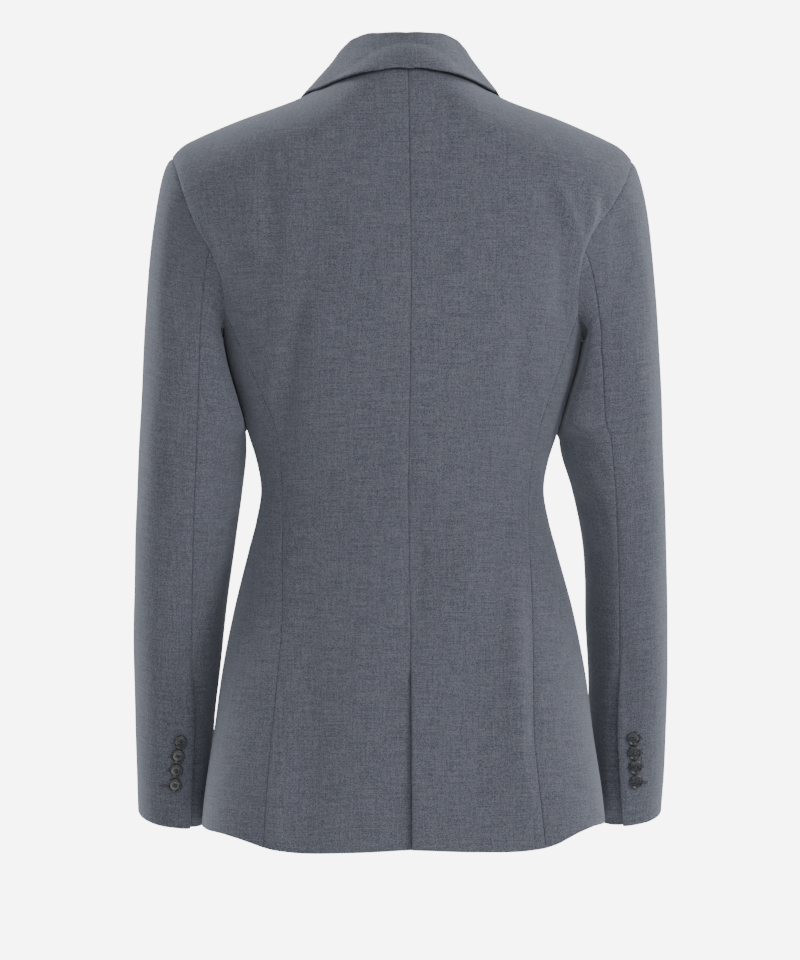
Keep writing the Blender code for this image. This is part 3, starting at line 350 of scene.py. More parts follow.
def ease(low, high, at):
    """0 below low, 1 above high, smooth between."""
    s = np.clip((np.asarray(at, float) - low) / (high - low), 0, 1)
    return s * s * (3 - 2 * s)


def height_of(x, w):
    """Height of a point w along the cloth from the shoulder line."""
    turn = np.clip(np.abs(w) / ROUND, 0, math.pi / 2)
    past = np.maximum(np.abs(w) - ROUND * math.pi / 2, 0)
    return read(RIDGE, "z", x) - ROUND * (1 - np.cos(turn)) - past


def along(x, z, side):
    """The w that reaches height z, over the back (1) or the front (-1)."""
    deep = np.maximum(read(RIDGE, "z", x) - z, 0)
    turned = ROUND * np.arccos(np.clip(1 - deep / ROUND, 0, 1))
    return side * np.where(deep < ROUND, turned, ROUND * math.pi / 2 + deep - ROUND)


def torso(x, w):
    """A point of the torso's outside, x from the centre line and w along the cloth."""
    x, w = np.broadcast_arrays(np.asarray(x, float), np.asarray(w, float))
    z = height_of(x, w)
    back = w >= 0
    middle = read(RINGS, "middle", z)
    reach = np.where(back, read(RINGS, "back", z) - middle, middle - read(RINGS, "front", z))
    power = np.where(back, read(RINGS, "back_power", z), read(RINGS, "front_power", z))
    across = np.clip(np.abs(x) / read(RINGS, "half_width", z), 0, 0.99999)
    oval = middle + np.where(back, 1, -1) * reach * (1 - across**power) ** (1 / power)
    turn = np.abs(np.sin(np.clip(w / ROUND, -math.pi / 2, math.pi / 2)))
    return np.stack([x, RIDGE_Y + (oval - RIDGE_Y) * turn, z], axis=-1)


def torso_normal(x, w):
    """The way out of the torso at a point of it."""
    d = 2e-4
    return unit(np.cross(torso(x + d, w) - torso(x - d, w), torso(x, w + d) - torso(x, w - d)))


def ring(angle, z):
    """A point of the torso's outside by its angle round from the centre back, in radians."""
    angle, z = np.broadcast_arrays(np.asarray(angle, float), np.asarray(z, float))
    back = angle < math.pi / 2
    power = np.where(back, read(RINGS, "back_power", z), read(RINGS, "front_power", z))
    s, c = np.abs(np.sin(angle)), np.abs(np.cos(angle))
    size = (s**power + c**power) ** (-1 / power)
    middle = read(RINGS, "middle", z)
    reach = np.where(back, read(RINGS, "back", z) - middle, middle - read(RINGS, "front", z))
    x = read(RINGS, "half_width", z) * s * size
    return np.stack([x, middle + np.where(back, 1, -1) * reach * c * size, z], axis=-1)


def ring_normal(angle, z):
    """The way out of the torso at an angle and height."""
    d = 1e-3
    return unit(np.cross(ring(angle, z + d) - ring(angle, z - d), ring(angle + d, z) - ring(angle - d, z)))


def ring_angle(x, z, side):
    """Where a distance from the centre lies round the ring, over the back (1) or the front (-1)."""
    power = read(RINGS, "back_power" if side > 0 else "front_power", z)
    t = x / read(RINGS, "half_width", z)
    angle = np.arctan2(t, (1 - t**power) ** (1 / power))
    return angle if side > 0 else math.pi - angle


def lift_clear(places, gap):
    """Moves places that come nearer than a gap to the shoulder's outside straight out to it."""
    x, y, z = places[..., 0], places[..., 1], places[..., 2]
    ridge = read(RIDGE, "z", x)
    foot = torso(np.abs(x), np.where(y > RIDGE_Y, 1, -1) * ROUND * math.pi / 2)[..., 1] - RIDGE_Y
    ahead, up = (y - RIDGE_Y) / foot, 1 - (ridge - z) / ROUND
    from_middle = np.hypot(ahead, up)
    least = 1 + gap / ROUND
    grow = np.where(up > 0, np.maximum(least / from_middle, 1), 1)
    return np.stack([x, RIDGE_Y + ahead * grow * foot, ridge - ROUND * (1 - up * grow)], -1)


def torso_half_width(y, z):
    """The torso's distance from the centre at a depth and height."""
    middle = read(RINGS, "middle", z)
    back = y >= middle
    reach = np.where(back, read(RINGS, "back", z) - middle, middle - read(RINGS, "front", z))
    power = np.where(back, read(RINGS, "back_power", z), read(RINGS, "front_power", z))
    t = np.clip(np.abs(y - middle) / reach, 0, 1)
    return read(RINGS, "half_width", z) * (1 - t**power) ** (1 / power)


print("torso at the waist:", np.round(torso(0.0, along(0.0, -0.367, 1)), 4))

# %% [markdown]
# ## Laying cloth
#
# A piece starts as a flat grid with a point where each thread group crosses. The grid is then laid
# on the form point by point. Solidify gives it its thickness, less of it near a seam, where the upper
# face rolls down and the lower stays level. A seam that rolls in is what tells the eye that two
# pieces are sewn together, and a painted line can't do that.

# %% Close steps at seams
# How far from a seam its closest points lie, so that the roll of the edge has points to bend at.
NEAR = np.array([0.0, 0.35, 0.8, 1.4, 2.2, 3.2, 4.6, 6.6]) / 1000


def lengths(places, axis=1):
    """How far each point lies along its row (axis 1) or column (axis 0)."""
    step = np.linalg.norm(np.diff(places, axis=axis), axis=-1)
    return np.concatenate([np.zeros_like(step.take([0], axis)), np.cumsum(step, axis)], axis)


def respace(cut, surface, count, axis):
    """The cut with its columns (axis 1) or rows (axis 0) close together at both ends and even between."""
    if axis == 0:
        return respace(cut.swapaxes(0, 1), surface, count, 1).swapaxes(0, 1)
    s = lengths(surface(cut))
    total = s[:, -1:]
    near = NEAR[None] * np.minimum(1, total / 0.040)
    start = near[:, -1:] * 1.35
    even = start + (total - 2 * start) * np.linspace(0, 1, count)[None]
    at = np.concatenate([near, even, total - near[:, ::-1]], 1)
    rows = [[np.interp(at[r], s[r], cut[r, :, k]) for k in range(cut.shape[2])] for r in range(len(cut))]
    return np.array(rows).transpose(0, 2, 1)


def patch(bottom, top, left, right):
    """Rows and columns between four edges that meet at their ends."""
    u = np.linspace(0, 1, len(bottom))[None, :, None]
    v = np.linspace(0, 1, len(left))[:, None, None]
    bottom, top, left, right = bottom[None], top[None], left[:, None], right[:, None]
    corners = (
        (1 - u) * (1 - v) * bottom[:, :1] + u * (1 - v) * bottom[:, -1:]
        + (1 - u) * v * top[:, :1] + u * v * top[:, -1:]
    )
    return (1 - v) * bottom + v * top + (1 - u) * left + u * right - corners


print("steps beside a seam reach", NEAR[-1] * 1000, "mm")

# %% [markdown]
# ## Folds
#
# A tailored cloth has few folds, and those are long, shallow and uneven. Each fold is a row of a
# table: where it starts and ends, how far it bows, how wide it is to each side and how deep. Minus
# is a trough and plus a ridge. They are pressed into the form along its normals.

# %% Pressing folds
def folds(tab, across, up):
    """Height of all the folds of a table at places across and up the cloth, in metres."""
    total = np.zeros(np.shape(across))
    for row in zip(*(tab[name] / 1000 for name in "from_x from_z to_x to_z bow left right depth".split())):
        x0, z0, x1, z1, bow, left, right, depth = row
        run = math.hypot(x1 - x0, z1 - z0)
        ux, uz = (x1 - x0) / run, (z1 - z0) / run
        t = ((across - x0) * ux + (up - z0) * uz) / run
        inside = np.clip(t, 0, 1)
        aside = (across - x0) * uz - (up - z0) * ux - 4 * bow * inside * (1 - inside)
        wide = np.where(aside > 0, right, left)
        ends = ease(-0.20, 0.30, t) * (1 - ease(0.70, 1.20, t))
        total += depth * np.exp(-((aside / wide) ** 2)) * ends
    return total


def unevenness(a, b, seed):
    """The slight unevenness of pressed cloth, a few tenths of a millimetre high, over places in metres."""
    waves = ((31, 17, 0.9), (-23, 41, 2.3), (57, -29, 4.1), (12, 71, 5.2), (88, 35, 1.4))
    return 0.00009 * sum(np.sin(a * p + b * q + r + seed) for p, q, r in waves)


TURNED = (0.0009, 0.0007)       # radius and drop of an edge that is turned in
CUFF_TURNED = (0.0008, 0.0006)


def roll(distance, radius=0.0017, drop=0.0011):
    """How far the upper face has rolled down at a distance from its edge, on a quarter round."""
    t = 1 - np.clip(distance / radius, 0, 1)
    return drop * (1 - np.sqrt(np.maximum(1 - t * t, 0)))


print("a sewn edge rolls", round(float(roll(0.0)) * 1000, 2), "mm a face")
print("a turned edge rolls", round(TURNED[1] * 1000, 2), "mm a face")

# %% Grids to cloth
def cloth_grid(name, places, thick, across, up):
    """A grid laid on its places, with a UV map of thread lengths in metres and a thickness group."""
    rows, columns = places.shape[:2]
    bpy.ops.object.select_all(action="DESELECT")
    bpy.ops.mesh.primitive_grid_add(x_subdivisions=columns - 1, y_subdivisions=rows - 1, size=1)
    piece = bpy.context.object
    piece.name = piece.data.name = name
    piece.data.vertices.foreach_set("co", places.reshape(-1))
    corners = np.empty(len(piece.data.loops), int)
    piece.data.loops.foreach_get("vertex_index", corners)
    threads = np.stack([across.reshape(-1), up.reshape(-1)], -1)
    piece.data.uv_layers[0].name = "threads"
    piece.data.uv_layers[0].data.foreach_set("uv", threads[corners].reshape(-1))
    group = piece.vertex_groups.new(name="thickness")
    weights = np.clip(thick.reshape(-1), 0, 1)
    for level in np.unique(np.round(weights, 3)):
        group.add(np.flatnonzero(np.round(weights, 3) == level).tolist(), float(level), "REPLACE")
    return piece


def to_hand(grids, mirror):
    """The same grids for the wearer's left (1) or right (-1)."""
    for places, outs, *_ in grids:
        places[..., 0] *= mirror
        outs[..., 0] *= mirror
    return grids


def sewn_cloth(name, grids, wall, looks):
    """One closed shell from grids that share edges, each (places, out, thick, across, up)."""
    parts = []
    for i, (places, out, thick, across, up) in enumerate(grids):
        part = cloth_grid(name if i == 0 else f"{name}_{i}", places, thick, across, up)
        facing = np.empty(places.size)
        part.data.vertex_normals.foreach_get("vector", facing)
        if (facing * out.reshape(-1)).sum() < 0:
            part.data.flip_normals()
        parts.append(part)
    bpy.ops.object.select_all(action="DESELECT")
    for part in parts:
        part.select_set(True)
    bpy.context.view_layer.objects.active = parts[0]
    if len(parts) > 1:
        bpy.ops.object.join()
    piece = bpy.context.object
    bpy.ops.object.mode_set(mode="EDIT")
    bpy.ops.mesh.select_all(action="SELECT")
    bpy.ops.mesh.remove_doubles(threshold=2e-5)
    bpy.ops.object.mode_set(mode="OBJECT")
    wall_maker = piece.modifiers.new("cloth", "SOLIDIFY")
    wall_maker.thickness = wall
    wall_maker.offset = -1.0
    wall_maker.vertex_group = "thickness"
    bpy.ops.object.modifier_apply(modifier=wall_maker.name)
    bpy.ops.object.shade_smooth_by_angle(angle=math.radians(50))
    piece.data.materials.clear()
    piece.data.materials.append(looks)
    faces = sum(len(p.vertices) - 2 for p in piece.data.polygons)
    print(f"{name}: {faces} triangles")
    return piece


# %% [markdown]
# ## The cloth's look
#
# The cloth is a plain-weave wool in a blue-grey melange: light and dark fibres spun together, with a
# few thicker threads that show as short lines across and down. One node group makes this from the
# thread lengths in the UV map, so its grain has the same size on every piece. A picture texture would
# be quicker, but it couldn't follow each piece's own threads.

# %% Nodes that a weave is made of
def socket(group, name, kind, way, value=None):
    """A named input or output of a node group."""
    made = group.interface.new_socket(name=name, in_out=way, socket_type=kind)
    if value is not None:
        made.default_value = value


def maths(group, kind, a, b=None, c=None):
    """A Math node's result, from numbers or from other nodes' outputs."""
    made = group.nodes.new("ShaderNodeMath")
    made.operation = kind
    for i, value in enumerate((a, b, c)):
        if value is None:
            continue
        if isinstance(value, (int, float)):
            made.inputs[i].default_value = value
        else:
            group.links.new(value, made.inputs[i])
    return made.outputs[0]


def total(group, values):
    """The sum of several outputs."""
    result, *others = values
    for other in others:
        result = maths(group, "ADD", result, other)
    return result


def thread_noise(group, across, up, detail, seed):
    """Noise with so many features a metre across and up the threads."""
    stretch = group.nodes.new("ShaderNodeVectorMath")
    stretch.operation = "MULTIPLY"
    stretch.inputs[1].default_value = (across, up, 1)
    group.links.new(group.nodes["threads"].outputs[0], stretch.inputs[0])
    made = group.nodes.new("ShaderNodeTexNoise")
    made.noise_dimensions = "4D"
    made.inputs["Scale"].default_value = 1.0
    made.inputs["Detail"].default_value = detail
    made.inputs["Roughness"].default_value = 0.6
    group.links.new(stretch.outputs[0], made.inputs["Vector"])
    group.links.new(maths(group, "ADD", group.nodes["given"].outputs["Shift"], seed), made.inputs["W"])
    return made.outputs[0]


def slub(group, across, up, seed, over):
    """1 along the few short lengths where a thread is thicker, and 0 elsewhere."""
    made = group.nodes.new("ShaderNodeMapRange")
    made.interpolation_type = "SMOOTHSTEP"
    made.inputs["From Min"].default_value = over
    made.inputs["From Max"].default_value = over + SLUB_SOFTNESS
    group.links.new(thread_noise(group, across, up, 1.0, seed), made.inputs["Value"])
    return made.outputs[0]


def thread_wave(group, across, up):
    """A wave with so many crests a metre across or up."""
    turned = group.nodes.new("ShaderNodeVectorMath")
    turned.operation = "DOT_PRODUCT"
    turned.inputs[1].default_value = (across, up, 0)
    group.links.new(group.nodes["threads"].outputs[0], turned.inputs[0])
    return maths(group, "SINE", maths(group, "MULTIPLY", turned.outputs["Value"], 2 * math.pi))


# %% A melange weave, as a node group
# Kinds of fibre: features a metre across and up, detail and seed of the noise, and how strongly it shows.
FIBRES = table(
    "across up detail seed share",
    (1400, 1500, 0, 0.3, 4.20),
    (36, 1050, 0, 5.1, 1.20),
    (1050, 44, 0, 9.7, 0.90),
    (300, 1100, 0, 18.4, 0.50),
    (30, 24, 1, 14.2, 0.08),
)
# Slubs: features a metre across and up, seed, and the level that only a few of them pass.
PALE_SLUBS = table("across up seed over", (15, 700, 21.0, 0.67), (700, 17, 27.0, 0.68))
DARK_SLUBS = table("across up seed over", (18, 700, 33.0, 0.65), (700, 20, 39.0, 0.68))
SLUB_SOFTNESS = 0.10
CRESTS = 850.0          # one thread over and one under to each, so 17 threads to the centimetre


def build_melange():
    """Colour, height and roughness of a melange cloth, from the thread lengths in its UV map."""
    group = bpy.data.node_groups.new("melange weave", "ShaderNodeTree")
    for name, value in (("Shift", 0.0), ("Contrast", 1.0), ("Slubs", 1.0)):
        socket(group, name, "NodeSocketFloat", "INPUT", value)
    socket(group, "Dark", "NodeSocketColor", "INPUT", (0.05, 0.06, 0.07, 1))
    socket(group, "Light", "NodeSocketColor", "INPUT", (0.12, 0.13, 0.15, 1))
    socket(group, "Color", "NodeSocketColor", "OUTPUT")
    socket(group, "Height", "NodeSocketFloat", "OUTPUT")
    socket(group, "Roughness", "NodeSocketFloat", "OUTPUT")
    given, out = group.nodes.new("NodeGroupInput"), group.nodes.new("NodeGroupOutput")
    threads = group.nodes.new("ShaderNodeUVMap")
    given.name, threads.name, threads.uv_map = "given", "threads", "threads"

    grain = total(group, [
        maths(group, "MULTIPLY", maths(group, "SUBTRACT", thread_noise(group, *kind), 0.5), share)
        for *kind, share in zip(*FIBRES.values())
    ])
    slubs = total(group, [slub(group, *kind) for kind in zip(*PALE_SLUBS.values())])
    darker = total(group, [slub(group, *kind) for kind in zip(*DARK_SLUBS.values())])
    pale, dark = maths(group, "MULTIPLY", slubs, 0.34), maths(group, "MULTIPLY", darker, 0.20)
    lines = maths(group, "SUBTRACT", pale, dark)
    lines = maths(group, "MULTIPLY", lines, given.outputs["Slubs"])
    tone = maths(group, "ADD", maths(group, "MULTIPLY_ADD", grain, given.outputs["Contrast"], 0.5), lines)
    mixed = group.nodes.new("ShaderNodeMix")
    mixed.data_type = "RGBA"
    for source, target in (
        (tone, "Factor"), (given.outputs["Dark"], "A"), (given.outputs["Light"], "B"),
    ):
        group.links.new(source, mixed.inputs[target])
    weave = maths(group, "MULTIPLY", thread_wave(group, CRESTS, 0), thread_wave(group, 0, CRESTS))
    height = total(group, [
        maths(group, "MULTIPLY", part, share) for part, share in ((weave, 0.22), (grain, 0.5), (slubs, 0.4))
    ])
    group.links.new(mixed.outputs["Result"], out.inputs["Color"])
    group.links.new(height, out.inputs["Height"])
    group.links.new(maths(group, "MULTIPLY_ADD", tone, -0.08, 0.93), out.inputs["Roughness"])
    return group


melange = build_melange()
print("melange weave:", len(melange.nodes), "nodes")

# %% [markdown]
# ## From the group to a material
#
# Wool scatters light from a nap of loose fibres, so it is very rough and has a soft pale sheen at
# its edges. The sheen's weight and roughness are plain numbers on the shader, and the group's height
# goes through a Bump node. Each piece is cut from another part of the cloth, so each gets its own shift.

# %% Wool materials
WOOL_DARK = (0.060, 0.0655, 0.085)
WOOL_LIGHT = (0.150, 0.157, 0.190)


def wool(name, shift, tone=1.0, contrast=0.72):
    """The cloth's material, with its own shift of the weave and its tone."""
    looks = bpy.data.materials.new(name)
    looks.use_nodes = True
    tree = looks.node_tree
    shader = tree.nodes["Principled BSDF"]
    cloth = tree.nodes.new("ShaderNodeGroup")
    cloth.node_tree = melange
    cloth.inputs["Shift"].default_value = shift
    cloth.inputs["Contrast"].default_value = contrast
    cloth.inputs["Dark"].default_value = (*(c * tone for c in WOOL_DARK), 1)
    cloth.inputs["Light"].default_value = (*(c * tone for c in WOOL_LIGHT), 1)
    bump = tree.nodes.new("ShaderNodeBump")
    bump.inputs["Strength"].default_value = 0.45
    bump.inputs["Distance"].default_value = 0.00018
    tree.links.new(cloth.outputs["Color"], shader.inputs["Base Color"])
    tree.links.new(cloth.outputs["Roughness"], shader.inputs["Roughness"])
    tree.links.new(cloth.outputs["Height"], bump.inputs["Height"])
    tree.links.new(bump.outputs["Normal"], shader.inputs["Normal"])
    shader.inputs["Specular IOR Level"].default_value = 0.22
    shader.inputs["Sheen Weight"].default_value = 0.30
    shader.inputs["Sheen Roughness"].default_value = 0.55
    shader.inputs["Sheen Tint"].default_value = (0.80, 0.86, 1.0, 1)
    return looks


print("wool from", WOOL_DARK, "to", WOOL_LIGHT)

# %% [markdown]
# ## Shared lines of the cut
#
# Neighbouring pieces must be cut on the same seam, so each seam is one function that both of them
# use. FINE says how many steps here go to one step of the solids.

# %% Seams, hem and neckline
FINE = 4
ROWS_BELOW = 16 * FINE
ROWS_ABOVE = 8 * FINE
BACK_NECK_STEPS = 5 * FINE
FRONT_NECK_STEPS = 4 * FINE
SHOULDER_STEPS = 6 * FINE
SIDE_STEPS = 6 * FINE


def rows_between(low, high, count):
    """Even places from low to high, in so many steps."""
    return np.linspace(low, high, count + 1)


def hem_at(x, hand, side):
    """Hem height at a distance from the centre, over the back or the front."""
    z = np.full(np.shape(x), HEM_Z)
    for _ in range(3):
        z = read(HEM, hand, np.degrees(ring_angle(np.abs(x), z, side)))
    return z


def shoulder_line():
    """x and w of the shoulder seam, from the neck to the armhole."""
    return np.stack([rows_between(NECK_X, TIP_X, SHOULDER_STEPS), np.zeros(SHOULDER_STEPS + 1)], -1)


def seam_rows(seam, hand, side):
    """Heights and distances down a side panel's seam, hem first."""
    foot = HEM_Z
    for _ in range(4):
        foot = float(hem_at(read(seam, hand, foot), hand, side))
    z = rows_between(foot, JOIN_Z, ROWS_BELOW)
    return z, read(seam, hand, z)


def armhole(tab, hand, side, steps):
    """Points of an armhole edge in x and w at steps from the join (0) to the tip (8)."""
    stations = BACK_STATIONS if side > 0 else FRONT_STATIONS
    at = np.interp(steps, np.arange(9), stations)
    x, z = read(tab, hand, at), read(tab, "z", at)
    w = along(x, z, side)
    w = np.where(np.asarray(steps) >= 8, 0.0, w)
    return np.stack([x, w], -1)


def underarm(hand, at):
    """The armhole's foot, as angle and height, from the back join (-1) to the front join (1)."""
    first = ring_angle(read(BACK_SEAM, hand, JOIN_Z), JOIN_Z, 1)
    last = ring_angle(read(FRONT_SEAM, hand, JOIN_Z), JOIN_Z, -1)
    return np.stack([first + (last - first) * (at + 1) / 2, UNDERARM_Z + (JOIN_Z - UNDERARM_Z) * at * at], -1)


print("hem at the centre back:", round(float(hem_at(0.0, "left", 1)), 4))

# %% [markdown]
# ## Folds of the body
#
# The back is nearly smooth. Beside each armhole the cloth stands in a soft fold, which a fitted back
# needs so that the arms can move. Over the waist the cloth runs in shallow troughs beside the seams,
# and the skirt below it hangs in two or three long flutes. The fronts have similar ones: drag lines
# from the button, and a soft break from the chest to the armhole.

# %% Fold tables of the body, in millimetres
BACK_FOLDS = {
    "left": table(
        "at from_x from_z to_x to_z bow left right depth",
        (1, 130, -66, 128, -168, 3, 8, 10, -3.4),
        (2, 148, -82, 152, -160, 4, 12, 8, 1.8),
        (3, 96, -186, 118, -338, -2, 11, 9, -5.6),
        (4, 84, -205, 90, -330, 3, 16, 12, 1.0),
        (5, 60, -330, 66, -420, 4, 22, 16, -1.2),
        (6, 118, -580, 121, -700, -2, 9, 8, 3.0),
        (7, 92, -500, 98, -690, 4, 18, 12, -3.4),
        (8, 44, -470, 46, -640, -5, 20, 24, 2.4),
        (9, 70, -96, 92, -190, -8, 18, 22, -2.2),
        (10, 189, -118, 175, -166, 2, 4, 4, -1.8),
        (11, 1, -396, 2, -492, 0, 6, 6, -5.0),
    ),
    "right": table(
        "at from_x from_z to_x to_z bow left right depth",
        (1, 122, -84, 143, -142, -4, 6, 9, -5.0),
        (2, 133, -84, 157, -140, 0, 5, 5, 3.4),
        (3, 143, -134, 144, -212, 1, 9, 12, -4.2),
        (4, 181, -98, 184, -122, 0, 5, 5, -3.4),
        (5, 106, -212, 104, -300, 3, 10, 9, -3.2),
        (6, 1, -396, 2, -492, 0, 12, 12, -5.0),
        (7, 60, -500, 66, -680, 3, 24, 22, -5.0),
        (8, 98, -440, 103, -650, 3, 11, 10, 4.0),
        (9, 172, -98, 160, -164, -2, 5, 5, 2.6),
        (10, 48, -360, 62, -470, 4, 20, 20, 2.8),
    ),
}
FRONT_FOLDS = {
    "left": table(
        "at from_x from_z to_x to_z bow left right depth",
        (1, 128, -74, 138, -158, 4, 11, 9, -1.7),
        (2, 30, -352, 96, -300, 5, 7, 9, -1.3),
        (3, 34, -366, 104, -372, -5, 7, 9, -1.2),
        (4, 100, -232, 92, -330, -4, 11, 9, -1.5),
        (5, 84, -480, 92, -640, 3, 14, 12, -1.4),
        (6, 110, -470, 118, -668, 3, 12, 9, 1.4),
    ),
    "right": table(
        "at from_x from_z to_x to_z bow left right depth",
        (1, 124, -70, 142, -150, 5, 9, 11, -1.9),
        (2, 26, -346, 88, -288, 6, 8, 8, -1.2),
        (3, 32, -364, 98, -382, -4, 8, 8, -1.3),
        (4, 104, -226, 94, -318, -3, 10, 9, -1.4),
        (5, 78, -492, 84, -655, 4, 14, 12, -1.3),
        (6, 106, -476, 112, -640, 4, 12, 9, 1.5),
    ),
}


def body_folds(hand, places, side):
    """Fold height at places on the body, with x counted from the centre on either side."""
    x, z = places[..., 0], places[..., 2]
    tab = (BACK_FOLDS if side > 0 else FRONT_FOLDS)[hand]
    return folds(tab, x, z) + unevenness(x if hand == "left" else -x, z, 0.0)


def still_at_armhole(places):
    """0 along the armhole, where the sleeve holds the cloth, and 1 away from it. Its edge is the last
    column above the side panel's join."""
    aside = lengths(places)[:, -1:] - lengths(places)
    return 1 - (1 - ease(0.0, 0.008, aside)) * ease(JOIN_Z - 0.03, JOIN_Z, places[..., 2])


def threads_of(places, start=0.0, column=0):
    """Thread lengths across and up a grid whose rows rise from the hem. Level steps alone count
    across, from a column, and those with no sideways part count up, so the weft stays level."""
    level, plumb = places * [1, 1, 0], places * [0, 1, 1]
    across = lengths(level)
    return across - across[:, column:column + 1] + start, lengths(plumb, 0) + places[:1, :, 2]


for name, tabs in (("back", BACK_FOLDS), ("front", FRONT_FOLDS)):
    print(name, "folds:", {hand: len(tab["at"]) for hand, tab in tabs.items()})

# %% [markdown]
# ## Backs
#
# Each half runs from the centre seam to the curved seam of the side panel, and up round the armhole
# to the shoulder. Below the vent's top the left half dips under the right one and runs on past the
# centre.

# %% Finishing the edges of a piece
SEAM_DENT, SEAM_DENT_WIDE = 0.00060, 0.0045     # where the stitches pull the cloth in beside a seam
HEAD_DENT, HEAD_DENT_WIDE = 0.00100, 0.0022     # the same again, close to the edge of a set-in sleeve
FOLD_AT_SEAM, FOLD_WHOLE_AT = 0.35, 0.012       # a fold's share at a seam, and how far off it is whole


def finish_edges(places, outs, fold, sides, wall):
    """Presses folds and rolls edges. sides maps left, right, bottom and top to sewn, set in or turned.
    Returns the places and how much of the wall's thickness is left at each point."""
    across, up = lengths(places), lengths(places, 0)
    distance = {
        "left": across, "right": across[:, -1:] - across, "bottom": up, "top": up[-1:] - up,
    }
    drop, rise, dent = (np.zeros(places.shape[:2]) for _ in range(3))
    calm = np.ones(places.shape[:2])
    for side, kind in sides.items():
        if kind == "turned":
            edge = roll(distance[side], *TURNED)
            drop, rise = np.maximum(drop, edge), np.maximum(rise, edge)
            continue
        drop = np.maximum(drop, roll(distance[side]))
        dent += SEAM_DENT * np.exp(-((distance[side] / SEAM_DENT_WIDE) ** 2))
        if kind == "set in":
            dent += HEAD_DENT * np.exp(-((distance[side] / HEAD_DENT_WIDE) ** 2))
        calm *= FOLD_AT_SEAM + (1 - FOLD_AT_SEAM) * ease(0.0, FOLD_WHOLE_AT, distance[side])
    moved = places + outs * (fold * calm - drop - dent)[..., None]
    return moved, (wall - drop - rise) / wall


print("a seam is dented", round((SEAM_DENT + float(roll(0.0))) * 1000, 2), "mm at its line")


# %% Backs
def back_cut(hand):
    """A back half's grid in x and w."""
    z, x = seam_rows(BACK_SEAM, hand, 1)
    right = np.concatenate([
        np.stack([x, along(x, z, 1)], -1),
        armhole(BACK_ARMHOLE, hand, 1, rows_between(0, 8, ROWS_ABOVE))[1:],
    ])
    neck_x = rows_between(0, NECK_X, BACK_NECK_STEPS)
    neck = np.stack([neck_x, along(neck_x, read(BACK_NECK, "z", neck_x), 1)], -1)
    neck[-1, 1] = 0.0
    top = np.concatenate([neck, shoulder_line()[1:]])
    hem_x = rows_between(0, x[0], BACK_NECK_STEPS + SHOULDER_STEPS)
    bottom = np.stack([hem_x, along(hem_x, hem_at(hem_x, hand, 1), 1)], -1)
    centre_z = np.concatenate([
        rows_between(float(hem_at(0.0, hand, 1)), JOIN_Z, ROWS_BELOW),
        rows_between(JOIN_Z, float(read(BACK_NECK, "z", 0.0)), ROWS_ABOVE)[1:],
    ])
    left = np.stack([np.zeros(len(centre_z)), along(np.zeros(len(centre_z)), centre_z, 1)], -1)
    return patch(bottom, top, left, right)


def on_torso(cut):
    """Places on the torso from x and w."""
    return torso(cut[..., 0], cut[..., 1])


VENT_STANDS = 0.0026    # the free edge off the half beneath, at the hem
VENT_CLEAR = 0.0004     # what the half beneath lies lower, besides its lap


def vent_dip(x, z):
    """How deep the left half lies below the right one at the vent."""
    near = 1 - ease(0.004, 0.034, np.maximum(x, 0))
    return (CLOTH + LAP + VENT_CLEAR) * near * ease(-VENT_Z, -VENT_Z + 0.030, -z)


def vent_underlap(cut, places, back):
    """The left half's strip beneath the vent, joined to the centre edge of its grid."""
    moved, _, thick, across, up = back
    low = [r for r in range(len(cut)) if places[r, 0, 2] < VENT_Z + 0.004]
    past = -VENT_UNDERLAP * np.concatenate([[0, 0.012], np.linspace(0.04, 0.95, 14), [0.975, 1.0]])
    w = cut[low, 0, 1][:, None] + 0 * past[None, :]
    w = w + (height_of(past, w) - height_of(0 * past, w))
    x = past[None, :] + 0 * w
    strip, out = torso(x, w), torso_normal(x, w)
    strip = strip - out * vent_dip(x, strip[..., 2])[..., None]
    strip[:, 0] = moved[low, 0]
    reach = lengths(strip)
    full = np.clip(1 - roll(reach[:, -1:] - reach, *TURNED) * 2 / CLOTH, 0.1, 1)
    full[:, 0] = thick[low, 0]
    return strip, out, full, across[low, :1] - reach, up[low, :1] + 0 * w


def lay_back(hand, mirror, looks):
    """One half of the back as a closed shell."""
    cut = back_cut(hand)
    cut = respace(respace(cut, on_torso, 52, 1), on_torso, 150, 0)
    places, outs = on_torso(cut), torso_normal(cut[..., 0], cut[..., 1])
    fold = body_folds(hand, places, 1) * still_at_armhole(places)
    x, z = places[..., 0], places[..., 2]
    if hand == "right":
        # Below the vent's top its edge is free and stands a little off the half beneath.
        stands = VENT_STANDS * ease(-VENT_Z - 0.005, -VENT_Z + 0.11, -z) * np.exp(-((x / 0.018) ** 2))
    else:
        stands = -vent_dip(x, z)
    sides = {"left": "sewn", "right": "sewn", "top": "sewn", "bottom": "turned"}
    moved, thick = finish_edges(places, outs, fold, sides, CLOTH)
    moved = moved + outs * stands[..., None]
    grids = [(moved, outs, thick, *threads_of(places, np.abs(places[:, :1, 0])))]
    if hand == "left":
        grids.append(vent_underlap(cut, places, grids[0]))
    return sewn_cloth(f"back_{hand}_cloth", to_hand(grids, mirror), CLOTH, looks)


HANDS = (("left", 1.0), ("right", -1.0))
pieces = {}
for hand, mirror in HANDS:
    pieces[f"back_{hand}"] = lay_back(hand, mirror, wool(f"wool back {hand}", 3.0 + mirror))

# %% [markdown]
# ## Side panels
#
# A side panel wraps the flank between two seams. Its grid is cut by angle round the body, since x
# hardly changes there.

# %% Side panels
FLANK_WIDE, FLANK_DEEP, FLANK_WAVES = 0.12, 0.0006, 24      # a faint wave down the middle of the flank


